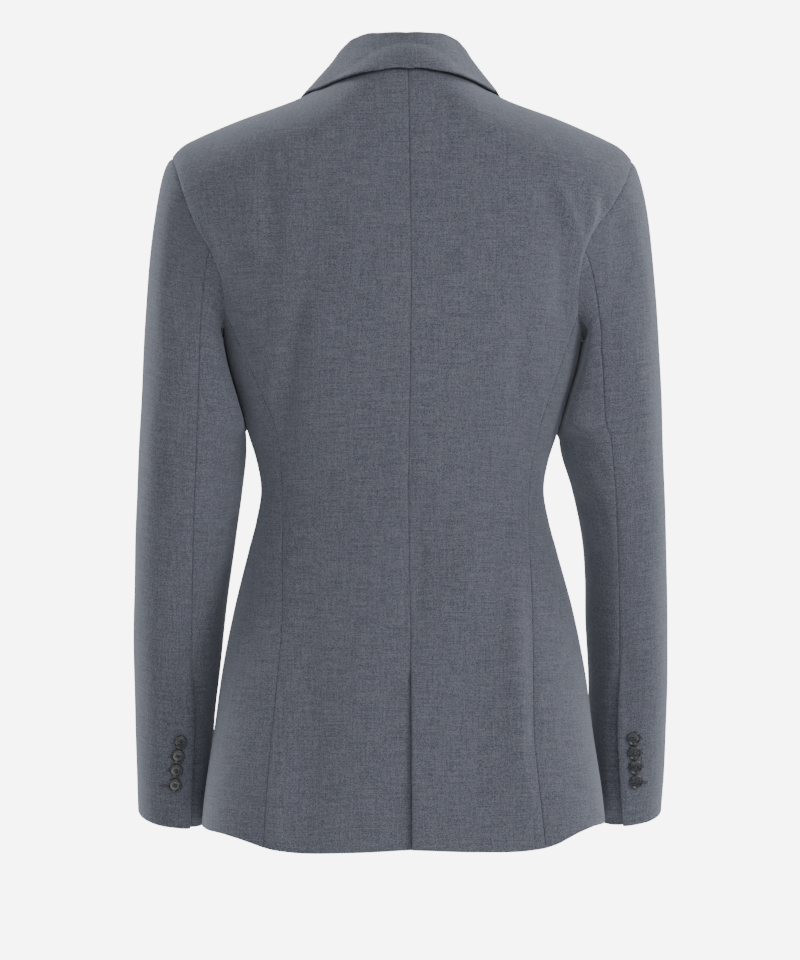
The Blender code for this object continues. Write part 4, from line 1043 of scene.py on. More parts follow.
def side_cut(hand):
    """A side panel's grid in angle and height."""
    z_back, x_back = seam_rows(BACK_SEAM, hand, 1)
    z_front, x_front = seam_rows(FRONT_SEAM, hand, -1)
    left = np.stack([ring_angle(x_back, z_back, 1), z_back], -1)
    right = np.stack([ring_angle(x_front, z_front, -1), z_front], -1)
    turn = rows_between(left[0, 0], right[0, 0], SIDE_STEPS)
    bottom = np.stack([turn, read(HEM, hand, np.degrees(turn))], -1)
    bottom[0], bottom[-1] = left[0], right[0]
    return patch(bottom, underarm(hand, rows_between(-1, 1, SIDE_STEPS)), left, right)


def on_ring(cut):
    """Places on the torso from angle and height."""
    return ring(cut[..., 0], cut[..., 1])


def lay_side(hand, mirror, looks):
    """One side panel as a closed shell."""
    cut = side_cut(hand)
    cut = respace(respace(cut, on_ring, 30, 1), on_ring, 110, 0)
    places, outs = on_ring(cut), ring_normal(cut[..., 0], cut[..., 1])
    back = cut[..., 0] < math.pi / 2
    fold = np.where(back, body_folds(hand, places, 1), body_folds(hand, places, -1))
    middle = np.exp(-((cut[..., 0] - math.pi / 2) / FLANK_WIDE) ** 2)
    fold = fold * (1 - middle) - middle * FLANK_DEEP * np.sin(places[..., 2] * FLANK_WAVES + mirror)
    from_top = lengths(places, 0)
    fold = fold * ease(0.0, 0.014, from_top[-1:] - from_top)
    sides = {"left": "sewn", "right": "sewn", "top": "sewn", "bottom": "turned"}
    moved, thick = finish_edges(places, outs, fold, sides, CLOTH)
    # Both seams' edges go on across the seam, so that no light shows between two rolled edges.
    for edge, inner in ((0, 1), (-1, -2)):
        moved[:, edge] += SEAM * unit(moved[:, edge] - moved[:, inner])
    grids = to_hand([(moved, outs, thick, *threads_of(places))], mirror)
    return sewn_cloth(f"side_{hand}_cloth", grids, CLOTH, looks)


for hand, mirror in HANDS:
    pieces[f"side_{hand}"] = lay_side(hand, mirror, wool(f"wool side {hand}", 7.0 + mirror))

# %% [markdown]
# ## Fronts
#
# A front is cut in one with its lapel. Up to the break its edge hangs straight. Above the break the
# cloth turns round the roll line and lies back over the chest to the lapel's outer edge and notch.
# The right front is on top, as it is for women, so the left one lies in a little under it.

# %% The cut of a front
def front_edge(hand):
    """x and z of the front edge and roll line, hem first, and the row where the lapel starts."""
    corner = np.array([-OVERLAP + FRONT_CORNER, float(hem_at(0.026, hand, -1))])
    z = rows_between(corner[1], BREAK_Z, 12 * FINE)
    if hand == "right":
        break_row, turn_x, turn_z, straight_top = 12 * FINE, -OVERLAP, BREAK_Z, BREAK_Z
    else:
        break_row, turn_x, turn_z, straight_top = 16 * FINE, UNDER_BREAK_X, UNDER_BREAK_Z, UNDER_STRAIGHT_Z
        z = np.concatenate([z, rows_between(BREAK_Z, turn_z, 4 * FINE)[1:]])
    z = np.concatenate([z, rows_between(turn_z, GORGE_Z, ROWS_BELOW + ROWS_ABOVE - break_row)[1:]])
    down = np.clip((CORNER_Z - z) / (CORNER_Z - corner[1]), 0, 1)
    cut_away = -OVERLAP + FRONT_CORNER * (1 - np.sqrt(1 - down**2))
    slant = np.interp(z, [straight_top, turn_z + 1e-9, GORGE_Z], [-OVERLAP, turn_x, GORGE_X])
    x = np.where(z < straight_top, cut_away, slant)
    return np.stack([x, z], -1), break_row


def front_cut(hand, edge):
    """A front's grid in x and w, without its lapel."""
    z, x = seam_rows(FRONT_SEAM, hand, -1)
    right = np.concatenate([
        np.stack([x, along(x, z, -1)], -1),
        armhole(FRONT_ARMHOLE, hand, -1, rows_between(0, 8, ROWS_ABOVE))[1:],
    ])
    left = np.stack([edge[:, 0], along(edge[:, 0], edge[:, 1], -1)], -1)
    stops = rows_between(0, 4, FRONT_NECK_STEPS)
    neck_x = read(FRONT_NECK, "x", stops)
    neck = np.stack([neck_x, along(neck_x, read(FRONT_NECK, "z", stops), -1)], -1)
    neck[-1, 1] = 0.0
    neck[0] = left[-1]
    top = np.concatenate([neck, shoulder_line()[1:]])
    hem_x = rows_between(edge[0, 0], x[0], FRONT_NECK_STEPS + SHOULDER_STEPS)
    bottom = np.stack([hem_x, along(hem_x, hem_at(hem_x, hand, -1), -1)], -1)
    bottom[0], bottom[-1] = left[0], right[0]
    return patch(bottom, top, left, right)


def front_dip(hand, x, w):
    """How far the left front lies in, to pass under the right one."""
    if hand == "right":
        return np.zeros(np.shape(x))
    near = 1 - ease(OVERLAP + 0.016, 0.085, x)
    below = 1 - ease(UNDER_BREAK_Z - 0.02, UNDER_BREAK_Z + 0.05, height_of(x, w))
    return (CLOTH + FRONT_LAP) * near * below


def chest(hand, cut):
    """Places on a front from x and w."""
    x, w = cut[..., 0], cut[..., 1]
    return torso(x, w) - torso_normal(x, w) * front_dip(hand, x, w)[..., None]


# %% The lapel
LAPEL_EDGE_LIFT = 0.0020        # the lapel's edge off the chest
LAPEL_SPRING = 0.0030           # how its middle springs off it, near the roll
GORGE_STEPS = 15


def lapel_bend(base, out):
    """The cloth's turn round the roll line, as places and ways out, and how far it is grown by row."""
    run = unit(np.gradient(base, axis=0))
    ahead = unit(np.cross(run, out))
    ahead = np.where(ahead[:, :1] > 0, -ahead, ahead)
    growth = ease(0, 14, np.arange(len(base)))[:, None]
    turns = np.linspace(0, math.pi, 13)
    bend = [base + ROLL * growth * (out - math.cos(t) * out + math.sin(t) * ahead) for t in turns]
    bend_out = [math.cos(t) * out - math.sin(t) * ahead for t in turns]
    return bend, bend_out, growth


def lapel_cut(edge):
    """The lapel's grid in x and z on the chest, from the roll line to its rim, gorge and notch."""
    start, peak = edge[0], np.array([PEAK_X, PEAK_Z])
    gorge, notch = np.array([GORGE_X, GORGE_Z]), np.array([NOTCH_X, NOTCH_Z])
    along_roll = np.linspace(0, 1, len(edge))
    rim = start + (peak - start) * along_roll[:, None]
    rim[:, 0] += LAPEL_BELLY * np.sin(math.pi * along_roll)
    t = np.linspace(0, 1, GORGE_STEPS + 1)[:, None]
    upper = np.concatenate([gorge + (notch - gorge) * t, notch + (peak - notch) * t[1:]])
    flat = patch(np.repeat(start[None], len(upper), 0), upper, edge, rim)
    # The lowest row is a point, so it is spread by a hair for its lengths to be read.
    flat[0] += 1e-6 * np.arange(len(upper))[:, None]
    return flat


def on_chest(cut):
    """Places on the chest from x and z."""
    return torso(cut[..., 0], along(cut[..., 0], cut[..., 1], -1))


def lay_lapel(hand, edge, base, out):
    """The lapel's places and ways out. Its rows are the chest's own, so that the two join point to
    point at the roll line."""
    bend, bend_out, growth = lapel_bend(base, out)
    flat = respace(lapel_cut(edge), on_chest, 26, 1)
    x, w = flat[..., 0], along(flat[..., 0], flat[..., 1], -1)
    normal = torso_normal(x, w)
    share = lengths(on_chest(flat))
    share = share / np.maximum(share[:, -1:], 1e-6)
    spring = LAPEL_SPRING * np.sin(math.pi * share) * (1 - share)
    level = 2 * ROLL + (LAPEL_EDGE_LIFT - 2 * ROLL) * share + spring
    lapel = chest(hand, np.stack([x, w], -1)) + normal * (level * growth)[..., None]
    lapel[:, 0] = bend[-1]
    places = np.concatenate([np.stack(bend[:-1], 1), lapel], 1)
    return places, np.concatenate([np.stack(bend_out[:-1], 1), -normal], 1)


# %% Fronts
def lay_front(hand, mirror, looks):
    """One front with its lapel as a closed shell."""
    edge, break_row = front_edge(hand)
    cut = respace(front_cut(hand, edge), lambda cut: chest(hand, cut), 52, 1)
    places, outs = chest(hand, cut), torso_normal(cut[..., 0], cut[..., 1])
    fold = body_folds(hand, places, -1) * still_at_armhole(places) * ease(0.0, 0.012, lengths(places))
    sides = {"right": "sewn", "top": "sewn", "bottom": "turned"}
    moved, thick = finish_edges(places, outs, fold, sides, CLOTH)
    straight = np.arange(len(moved)) < break_row
    turned = np.where(straight[:, None], roll(lengths(places), *TURNED), 0)
    moved = moved - outs * turned[..., None]
    thick = np.clip(thick - 2 * turned / CLOTH, 0.1, 1)
    across, up = threads_of(places, np.abs(places[:, :1, 0]))

    sheet, sheet_out = lay_lapel(hand, edge[break_row:], moved[break_row:, 0], outs[break_row:, 0])
    reach, rise = lengths(sheet), lengths(sheet, 0)
    full = np.ones(sheet.shape[:2])
    for distance in (reach[:, -1:] - reach, rise[-1:] - rise):
        full = np.minimum(full, 1 - 2 * roll(distance, *TURNED) / CLOTH)
    full[:, 0] = thick[break_row:, 0]
    lapel_threads = across[break_row:, :1] - reach, up[break_row:, :1] + 0 * reach
    grids = [(moved, outs, thick, across, up), (sheet, sheet_out, np.clip(full, 0.1, 1), *lapel_threads)]
    return sewn_cloth(f"front_{hand}_cloth", to_hand(grids, mirror), CLOTH, looks)


for hand, mirror in HANDS:
    pieces[f"front_{hand}"] = lay_front(hand, mirror, wool(f"wool front {hand}", 11.0 + mirror))

# %% [markdown]
# ## Collar
#
# The collar is two layers with their edges turned in together. A profile stands up from the
# neckline, turns over at the fold and falls to the leaf's edge, and the profiles follow the neck
# round from notch to notch.

# %% The collar's neck seam and leaf edge
NECK_MIDDLE = np.array([0, -0.01, 0.05])        # a point within the collar, which tells in from out


def neck_line(stops):
    """x of the back neckline at collar stops from the centre (0) to the neck point (5)."""
    return NECK_X * np.sin(np.radians(18.0 * stops))


def neck_seam(stops):
    """The neck seam at collar stops: its places, the way out of the body and the way into the neck."""
    front = np.clip(9 - stops, 0, 4)
    x = np.where(stops <= 5, neck_line(stops), read(FRONT_NECK, "x", front))
    w = np.where(
        stops <= 5,
        along(x, read(BACK_NECK, "z", x), 1),
        along(x, read(FRONT_NECK, "z", front), -1),
    )
    w = np.where(np.abs(stops - 5) < 1e-9, 0.0, w)
    base, out = torso(x, w), torso_normal(x, w)
    mirrored = base[1:2] * [-1, 1, 1]
    run = unit(np.gradient(np.concatenate([mirrored, base]), axis=0)[1:])
    into = unit(np.cross(out, run))
    into = np.where((into * (NECK_MIDDLE - base)).sum(-1, keepdims=True) < 0, -into, into)
    return base, out, into


def leaf_edge(stops):
    """Where the collar's fall ends at collar stops, a little off the body."""
    ends = dict(COLLAR)
    ends["w"] = along(COLLAR["x"], COLLAR["z"], COLLAR["side"])
    x, w = read(ends, "x", stops), read(ends, "w", stops)
    return torso(x, w) + torso_normal(x, w) * read(COLLAR, "lift", stops)[:, None]


def collar_middle(stops, profile):
    """The sheet between the two layers, at neck stops and at places up the profile: 0 to 1 the
    stand, 1 to 2 the turn, 2 to 3 the fall."""
    base, out, into = neck_seam(stops)
    lean = np.radians(read(COLLAR, "lean", stops))[:, None]
    up = np.cos(lean) * into + np.sin(lean) * out
    off = np.cos(lean) * out - np.sin(lean) * into
    foot = base - out * CLOTH / 2 + into * (4 * SEAM + COLLAR_CLOTH * np.sin(lean))
    stand = read(COLLAR, "stand", stops)[:, None]
    bend = ROLL + CLOTH / 2
    centre = foot + up * stand + off * bend
    start, finish_at = centre + off * bend, leaf_edge(stops)
    reach = np.linalg.norm(finish_at - start, axis=-1, keepdims=True)
    finish = unit(finish_at - start)
    rows = []
    for p in profile:
        if p <= 1:
            rows.append(foot + up * stand * p)
        elif p <= 2:
            t = math.pi * (p - 1)
            rows.append(centre - off * bend * math.cos(t) + up * bend * math.sin(t))
        else:
            t = p - 2
            fall = (1 + 2 * t) * (1 - t) ** 2 * start - t * (1 - t) ** 2 * reach * 0.3 * up
            fall = fall + t * t * (3 - 2 * t) * finish_at + t * t * (t - 1) * reach * finish
            rows.append(lift_clear(fall, LEAST_LIFT))
    half = np.stack(rows, 1)
    return np.concatenate([half[:0:-1] * [-1, 1, 1], half])


# %% Collar
COLLAR_STOPS = np.concatenate([np.linspace(0, 8.75, 71), 9 - np.array([0.20, 0.14, 0.09, 0.05, 0.02, 0.0])])
COLLAR_PROFILE = np.concatenate([
    np.linspace(0, 1, 9), np.linspace(1, 2, 13)[1:], np.linspace(2, 2.9, 22)[1:],
    3 - np.array([0.065, 0.04, 0.022, 0.009, 0.0]),
])
COLLAR_EDGE = (0.0016, 0.0010)          # radius and drop where the leaf's edge is turned in
COLLAR_FOOT = (0.0012, 0.0006)          # and where the foot is sewn to the neck
INTO_SEAM = 0.0007                      # how far the foot goes on down into that seam


def lay_collar(looks_upper, looks_under):
    """The collar's two layers, each a closed shell on its own side of the sheet between them."""
    middle = collar_middle(COLLAR_STOPS, COLLAR_PROFILE)
    middle[:, 0] += unit(middle[:, 0] - middle[:, 1]) * INTO_SEAM
    centre = middle.shape[0] // 2
    outs = unit(np.cross(np.gradient(middle, axis=0), np.gradient(middle, axis=1)))
    outs = outs if outs[centre, 14, 2] > 0 else -outs
    across, up = lengths(middle, 0), lengths(middle)
    across = across - across[centre:centre + 1]
    around = np.abs(across)
    edge_distance = np.minimum(up[:, -1:] - up, np.abs(around[-1:] - around))
    edge, foot = roll(edge_distance, *COLLAR_EDGE), roll(up, *COLLAR_FOOT)
    waves = unevenness(across, up, 1.3) * 1.2 * ease(0.002, 0.010, edge_distance)
    upper = middle + outs * (SEAM / 4 + COLLAR_CLOTH + waves - edge - foot)[..., None]
    under = middle - outs * (SEAM / 4 + COLLAR_CLOTH - waves - edge * 0.7 - foot)[..., None]
    thick = np.clip((COLLAR_CLOTH - edge - foot) / COLLAR_CLOTH, 0.12, 1)
    for name, places, out, looks in (
        ("upper_collar", upper, outs, looks_upper), ("under_collar", under, -outs, looks_under),
    ):
        pieces[name] = sewn_cloth(f"{name}_cloth", [(places, out, thick, across, up)], COLLAR_CLOTH, looks)


lay_collar(wool("wool upper collar", 15.0), wool("wool under collar", 17.0, tone=0.92))

# %% [markdown]
# ## Sleeves
#
# A two-piece sleeve has its seams at the back and inside the arm. Its head is eased into the
# armhole, so it leaves the seam nearly level and then turns down, which gives the small roll at the
# shoulder. Columns are counted round the sleeve in the solids' own steps, 0 to 22, from the shoulder
# tip by way of the back.

# %% Rings of the arm and the armhole
# The armhole's back ends at column 8, its foot is centred on 11, and its front runs from 14 to 22.
BACK_END, FOOT_MIDDLE, FRONT_START, LAST_COLUMN = 8, 11, 14, 22
BACK_SEAM_COLUMN, FRONT_SEAM_COLUMN = BACK_END - BACK_SEAM_AT, FRONT_START + FRONT_SEAM_AT


def arm_ring(hand, z, angle):
    """A point of a sleeve, angle in radians from its outer side by way of the back."""
    outer, inner = read(ARM, "outer_" + hand, z), read(ARM, "inner_" + hand, z)
    c, s = np.cos(angle), np.sin(angle)
    size = (np.abs(c) ** ARM_POWER + np.abs(s) ** ARM_POWER) ** (-1 / ARM_POWER)
    deep = read(ARM, "half_depth", z) * s * size
    wide = (outer - inner) / 2 * c * size
    height = z - read(ARM, "slope", z) * deep + CUFF_TILT * ease(0.48, 0.66, -z) * wide
    return np.stack([(outer + inner) / 2 + wide, read(ARM, "middle", z) + deep, height], -1)


def arm_angles(hand, z, columns):
    """Angles of columns at a height, with the seams on whole columns."""
    outer, inner = read(ARM, "outer_" + hand, z), read(ARM, "inner_" + hand, z)
    offset = ((outer + inner) / 2 - read(ARM, "seam_" + hand, z)) / ((outer - inner) / 2)
    back_seam = 90 + math.degrees(math.asin(np.clip(offset, -0.9, 0.9)))
    keys = [0, BACK_SEAM_COLUMN, FOOT_MIDDLE, FRONT_SEAM_COLUMN, LAST_COLUMN]
    return np.radians(np.interp(columns, keys, [0, back_seam, 180, FRONT_ARM_SEAM, 360]))


def arm_row(hand, z, columns):
    """A ring of the arm at columns."""
    return arm_ring(hand, np.full(len(columns), z), arm_angles(hand, z, columns))


def inwardness(angle):
    """0 on a sleeve's outer side and 1 on its inner side."""
    return 0.5 - 0.5 * np.cos(angle)


def armhole_ring(hand, columns):
    """Points round the armhole at columns, with the way out of the body."""
    places, outs = np.zeros((len(columns), 3)), np.zeros((len(columns), 3))
    back, front = columns <= BACK_END, columns >= FRONT_START
    foot = ~(back | front)
    for where, tab, side, steps in (
        (back, BACK_ARMHOLE, 1, BACK_END - columns), (front, FRONT_ARMHOLE, -1, columns - FRONT_START),
    ):
        cut = armhole(tab, hand, side, steps[where])
        places[where], outs[where] = torso(*cut.T), torso_normal(*cut.T)
    cut = underarm(hand, (columns[foot] - FOOT_MIDDLE) / (FRONT_START - FOOT_MIDDLE))
    places[foot], outs[foot] = ring(*cut.T), ring_normal(*cut.T)
    return places, outs


def armhole_edge(hand, columns):
    """The armhole at columns, with the way on past its edge and the way out of the body."""
    whole = np.linspace(0, LAST_COLUMN, 177)
    points, outs = armhole_ring(hand, whole)
    closed = np.concatenate([points[-2:-1], points, points[1:2]])
    run = unit(np.gradient(closed, axis=0)[1:-1])
    past = unit(np.cross(outs, run))
    wrong = ((points.mean(0) - points) * past).sum(-1, keepdims=True) < 0
    past = np.where(wrong, -past, past)

    def at_columns(values):
        """Values of the whole ring read at the columns."""
        return np.stack([np.interp(columns, whole, values[:, k]) for k in range(3)], -1)

    return at_columns(points), unit(at_columns(past)), unit(at_columns(outs))


# %% Sleeve form
UNDER = 0.0009          # how far the sleeve's head goes under the armhole's edge
TUCK = 0.0022           # how much deeper it goes in under the back's edge, low on the armhole
FOREARM_Z = -0.450
# Rows of a sleeve: shares of the way down its head, then heights of the arm's rings.
HEAD_SHARES = np.concatenate([[0, 0.004, 0.010, 0.018, 0.029, 0.043], np.linspace(0.062, 1, 34)])
CUFF_Z, ARM_TOP_Z = ARM["at"][0], ARM["at"][-1]
RING_HEIGHTS = np.concatenate([
    np.linspace(ARM_TOP_Z, CUFF_Z + 0.007, 76)[1:], CUFF_Z + np.array([4.6, 3.0, 1.8, 0.9, 0.4, 0]) / 1000,
])


def sleeve_head(hand, columns):
    """Rows from the armhole down to the arm's first ring."""
    points, past, outs = armhole_edge(hand, columns)
    low = inwardness(arm_angles(hand, ARM_TOP_Z, columns))
    # It leaves the seam in line with the cloth at the tip and turns out more and more further down.
    aft = ease(0.0, 0.030, points[:, 1] - points[:, 1].mean())
    fold = np.radians((1 - aft) * (6 + 68 * low**2) + aft * (9 + 50 * low**5))[:, None]
    away = unit(np.cos(fold) * past + np.sin(fold) * outs)
    ends = arm_row(hand, ARM_TOP_Z, columns)
    down = unit(arm_row(hand, ARM_TOP_Z - 0.004, columns) - ends)
    tucked = TUCK * (aft * ease(0.25, 0.50, low))[:, None]
    start = points - past * (UNDER + 0.8 * tucked) - outs * (0.4 * UNDER + tucked)
    span = np.linalg.norm(ends - start, axis=-1, keepdims=True)
    first = away * (0.078 - 0.045 * low[:, None])
    return [
        (1 + 2 * t) * (1 - t) ** 2 * start + t * (1 - t) ** 2 * first
        + t * t * (3 - 2 * t) * ends + t * t * (t - 1) * down * span * 0.8
        for t in HEAD_SHARES
    ]


def keep_to_body(grid, inner):
    """Moves a sleeve's grid sideways: out of the body all over, and onto it on the inner side, above
    the elbow. Behind, above the elbow, it keeps outside the body's widest line."""
    middle = read(RINGS, "middle", grid[..., 2])
    behind = grid[..., 1] > middle
    share = np.where(behind, ease(0.314, 0.335, -grid[..., 2]), 1)
    clear = torso_half_width(middle + (grid[..., 1] - middle) * share, grid[..., 2]) + CLEAR
    weight = ease(0.206, 0.226, -grid[..., 2])
    weight[0] = 0
    grid[..., 0] += weight * np.maximum(clear - grid[..., 0], 0)
    lies = inner * ease(0.214, 0.238, -grid[..., 2]) * (1 - ease(0.303, 0.322, -grid[..., 2]))
    lies[0] = 0
    lies *= 1 - ease(0.036, 0.052, middle - grid[..., 1])
    grid[..., 0] += lies * (clear - grid[..., 0])


def sleeve_form(hand, columns):
    """The sleeve's grid and its ways out: rows of the head, then rings of the arm."""
    grid = np.stack(sleeve_head(hand, columns) + [arm_row(hand, z, columns) for z in RING_HEIGHTS])
    keep_to_body(grid, ease(0.55, 0.9, inwardness(arm_angles(hand, ARM_TOP_Z, columns)))[None, :])
    outs = unit(np.cross(np.gradient(grid, axis=0), np.gradient(grid, axis=1)))
    row = len(HEAD_SHARES) + int(np.argmin(np.abs(RING_HEIGHTS - FOREARM_Z)))
    outer, inner = read(ARM, "outer_" + hand, FOREARM_Z), read(ARM, "inner_" + hand, FOREARM_Z)
    centre = np.array([float(outer + inner) / 2, float(read(ARM, "middle", FOREARM_Z)), FOREARM_Z])
    facing = (outs[row] * (arm_row(hand, FOREARM_Z, columns) - centre)).sum()
    return grid, outs if facing > 0 else -outs


print("sleeve rows:", len(HEAD_SHARES), "down the head,", len(RING_HEIGHTS), "down the arm")


# %% [markdown]
# ## Folds of the sleeves
#
# The arm is a little bent, so the cloth breaks inside the elbow and pulls in shallow drags from the
# outer elbow to it. Near the head a few drags run from the armhole. Places are given as degrees
# round the sleeve, from its outer side by way of the back, and as height.

# %% Fold tables of the sleeves
ROUND_ARM = 0.84        # millimetres round the sleeve for each degree

SLEEVE_FOLDS = {
    "left": table(
        "at from_x from_z to_x to_z bow left right depth",
        (1, 60, -130, 88, -230, 4, 9, 12, -1.5),
        (2, 40, -150, 66, -262, 5, 14, 12, 1.0),
        (3, 84, -262, 70, -372, -4, 10, 12, -1.3),
        (4, 48, -280, 44, -400, 4, 14, 14, 1.6),
        (5, 150, -330, 108, -392, 6, 8, 10, -1.8),
        (6, 164, -392, 120, -424, 6, 7, 9, -2.0),
        (7, 158, -446, 112, -452, 4, 7, 8, -1.4),
        (8, 70, -400, 96, -470, 3, 12, 12, -0.9),
        (9, 100, -460, 98, -640, 3, 8, 12, -1.4),
        (10, 60, -470, 62, -600, 4, 16, 14, 0.8),
        (11, 300, -150, 270, -260, 6, 12, 14, -1.6),
        (12, 250, -330, 205, -392, 6, 9, 10, -1.8),
        (13, 262, -400, 214, -430, 6, 8, 9, -1.7),
        (14, 320, -300, 300, -460, 5, 16, 16, -1.1),
        (15, 280, -480, 286, -640, 4, 14, 12, -1.0),
    ),
    "right": table(
        "at from_x from_z to_x to_z bow left right depth",
        (1, 58, -118, 92, -214, 5, 9, 11, -1.6),
        (2, 36, -140, 60, -256, 4, 15, 12, 1.1),
        (3, 92, -230, 84, -352, 4, 10, 13, -1.5),
        (4, 52, -270, 46, -420, -4, 16, 14, 1.4),
        (5, 152, -318, 104, -372, 7, 8, 9, -1.9),
        (6, 166, -376, 116, -408, 6, 8, 9, -2.4),
        (7, 160, -424, 110, -446, 5, 7, 9, -1.7),
        (8, 152, -470, 120, -486, 4, 7, 8, -1.0),
        (9, 96, -450, 104, -640, -3, 9, 12, -1.7),
        (10, 64, -450, 66, -590, 5, 15, 14, 0.9),
        (11, 304, -140, 268, -250, 5, 12, 14, -1.7),
        (12, 254, -318, 208, -380, 6, 9, 10, -1.9),
        (13, 260, -388, 210, -424, 6, 8, 9, -1.6),
        (14, 322, -310, 304, -450, 5, 16, 16, -1.0),
        (15, 276, -470, 282, -630, 4, 14, 12, -1.1),
    ),
}
for tab in SLEEVE_FOLDS.values():
    tab["from_x"] = tab["from_x"] * ROUND_ARM
    tab["to_x"] = tab["to_x"] * ROUND_ARM
print("sleeve folds:", {hand: len(tab["at"]) for hand, tab in SLEEVE_FOLDS.items()})


def sleeve_fold(hand, degrees, z):
    """Height of the folds on a sleeve at degrees round it and a height."""
    across, whole = degrees * ROUND_ARM / 1000, 360 * ROUND_ARM / 1000
    both = folds(SLEEVE_FOLDS[hand], across, z) + folds(SLEEVE_FOLDS[hand], across + whole, z)
    return both + 1.4 * unevenness(across, z, 0.7 if hand == "left" else 3.9)


def calmed_fold(hand, degrees, grid):
    """The same over a grid, weak near the head and the cuff, and none where it lies on the body."""
    down = lengths(grid, 0)
    quiet = ease(0.0, 0.02, down) * (0.3 + 0.7 * ease(0.0, 0.05, down[-1:] - down))
    on_body = ease(0.70, 0.95, inwardness(np.radians(degrees))) * (1 - ease(0.30, 0.36, -grid[..., 2]))
    return sleeve_fold(hand, degrees, grid[..., 2]) * quiet * (1 - on_body)


# %% Columns of the sleeves
COLUMN_PITCH = 0.0125   # from one column to the next, round the sleeve


def close_to(column, away):
    """Columns close together at a seam. away is 1 for those after it and -1 for those before."""
    return column + away * NEAR / COLUMN_PITCH


def seam_to_seam(start, end, count):
    """Columns from one seam to the next, close together at both and even between."""
    even = np.linspace(start + 0.85, end - 0.85, count)
    return np.concatenate([close_to(start, 1), even, close_to(end, -1)[::-1]])


PART_COLUMNS = {
    "top": seam_to_seam(FRONT_SEAM_COLUMN - LAST_COLUMN, BACK_SEAM_COLUMN, 46),
    "under": seam_to_seam(BACK_SEAM_COLUMN, FRONT_SEAM_COLUMN, 40),
}
print("sleeve columns:", {part: len(columns) for part, columns in PART_COLUMNS.items()})

# %% Sleeves
CUFF_DIP = SLEEVE_CLOTH + LAP + 0.0003      # the under sleeve below the top sleeve at the cuff vent
CUFF_STANDS = 0.0032                        # the top sleeve's free edge there off the under sleeve


def cuff_underlap(hand, low, depth, under):
    """The under sleeve's strip beneath the cuff vent, joined to the rows low of its grid."""
    moved, outs, thick, across, up = under
    steps = np.concatenate([[0, 0.03], np.linspace(0.10, 0.94, 9), [0.975, 1.0]])
    columns = np.maximum(BACK_SEAM_COLUMN - steps * CUFF_UNDERLAP / COLUMN_PITCH, 0)
    strip, strip_out = (part[low] for part in sleeve_form(hand, columns))
    if (strip_out[:, 0] * outs[low, 0]).sum() < 0:
        strip_out = -strip_out
    strip = strip - strip_out * (CUFF_DIP * depth[low, :1])[..., None]
    strip[:, 0] = moved[low, 0]
    reach = lengths(strip)
    full = np.clip(1 - 2 * roll(reach[:, -1:] - reach, *CUFF_TURNED) / SLEEVE_CLOTH, 0.1, 1)
    full[:, 0] = thick[low, 0]
    return strip, strip_out, full, across[low, :1] - reach, up[low, :1] + 0 * reach


def sleeve_part(hand, part, columns):
    """Grids of a sleeve's top or under part."""
    wrapped = np.mod(columns, LAST_COLUMN)
    grid, outs = sleeve_form(hand, wrapped)
    levels = np.concatenate([np.full(len(HEAD_SHARES), ARM_TOP_Z), RING_HEIGHTS])
    degrees = np.stack([np.degrees(arm_angles(hand, z, wrapped)) for z in levels]) - 360.0 * (columns < 0)
    if part == "under":
        depth = ease(-CUFF_VENT_Z - 0.03, -CUFF_VENT_Z, -grid[..., 2])
        near = 1 - ease(0, 1, (columns - BACK_SEAM_COLUMN) / 2.0)[None, :]
        stands = -CUFF_DIP * depth * near
    else:
        near = 1 - ease(0, 1, (BACK_SEAM_COLUMN - columns) / 1.3)[None, :]
        stands = CUFF_STANDS * ease(-CUFF_VENT_Z - 0.04, -CUFF_VENT_Z + 0.03, -grid[..., 2]) * near
    sides = {"left": "sewn", "right": "sewn", "bottom": "set in", "top": "turned"}
    moved, thick = finish_edges(grid, outs, calmed_fold(hand, degrees, grid), sides, SLEEVE_CLOTH)
    moved = moved + outs * stands[..., None]
    across, up = lengths(grid), lengths(grid, 0)
    across, up = across - across[:, len(columns) // 2, None], up[-1:] - up
    grids = [(moved, outs, thick, across, up)]
    if part == "under":
        low = [r for r in range(len(grid)) if grid[r, 0, 2] < CUFF_VENT_Z + 0.004]
        grids.append(cuff_underlap(hand, low, depth, grids[0]))
    return grids


for hand, mirror in HANDS:
    for part, shift in (("top", 21.0), ("under", 25.0)):
        looks = wool(f"wool {part} sleeve {hand}", shift + mirror)
        grids = to_hand(sleeve_part(hand, part, PART_COLUMNS[part]), mirror)
        pieces[f"{part}_sleeve_{hand}"] = sewn_cloth(
            f"{part}_sleeve_{hand}_cloth", grids, SLEEVE_CLOTH, looks)

# %% [markdown]
# ## Buttons
#
# A suit button is turned from horn, or from resin that looks like it: a flat back, a rounded rim that
# stands proud, and a dished middle with four holes. We could spin an outline, but stepping a disc up
# ring by ring keeps every height in one short table. The holes are drilled last, by Boolean cutters.

# %% The outline of a button
CUFF_BUTTON, FRONT_BUTTON = 0.0130, 0.0200      # across
# From the edge of the back, round the rim and down into the dish, in radii.
BUTTON_OUTLINE = table(
    "reach height",
    (0.72, 0.000), (0.84, 0.020), (0.93, 0.070), (0.98, 0.135), (1.00, 0.200), (0.99, 0.262),
    (0.955, 0.310), (0.905, 0.336), (0.855, 0.338), (0.81, 0.318), (0.775, 0.280), (0.745, 0.245),
    (0.70, 0.224), (0.60, 0.216), (0.46, 0.212),
)
HOLE_OUT, HOLE_RADIUS = 0.250, 0.098            # in radii
print("button outline:", len(BUTTON_OUTLINE["reach"]), "rings")


# %% A disc stepped up to a button
def alone(piece):
    """Selects one piece and nothing else."""
    bpy.ops.object.select_all(action="DESELECT")
    piece.select_set(True)
    bpy.context.view_layer.objects.active = piece


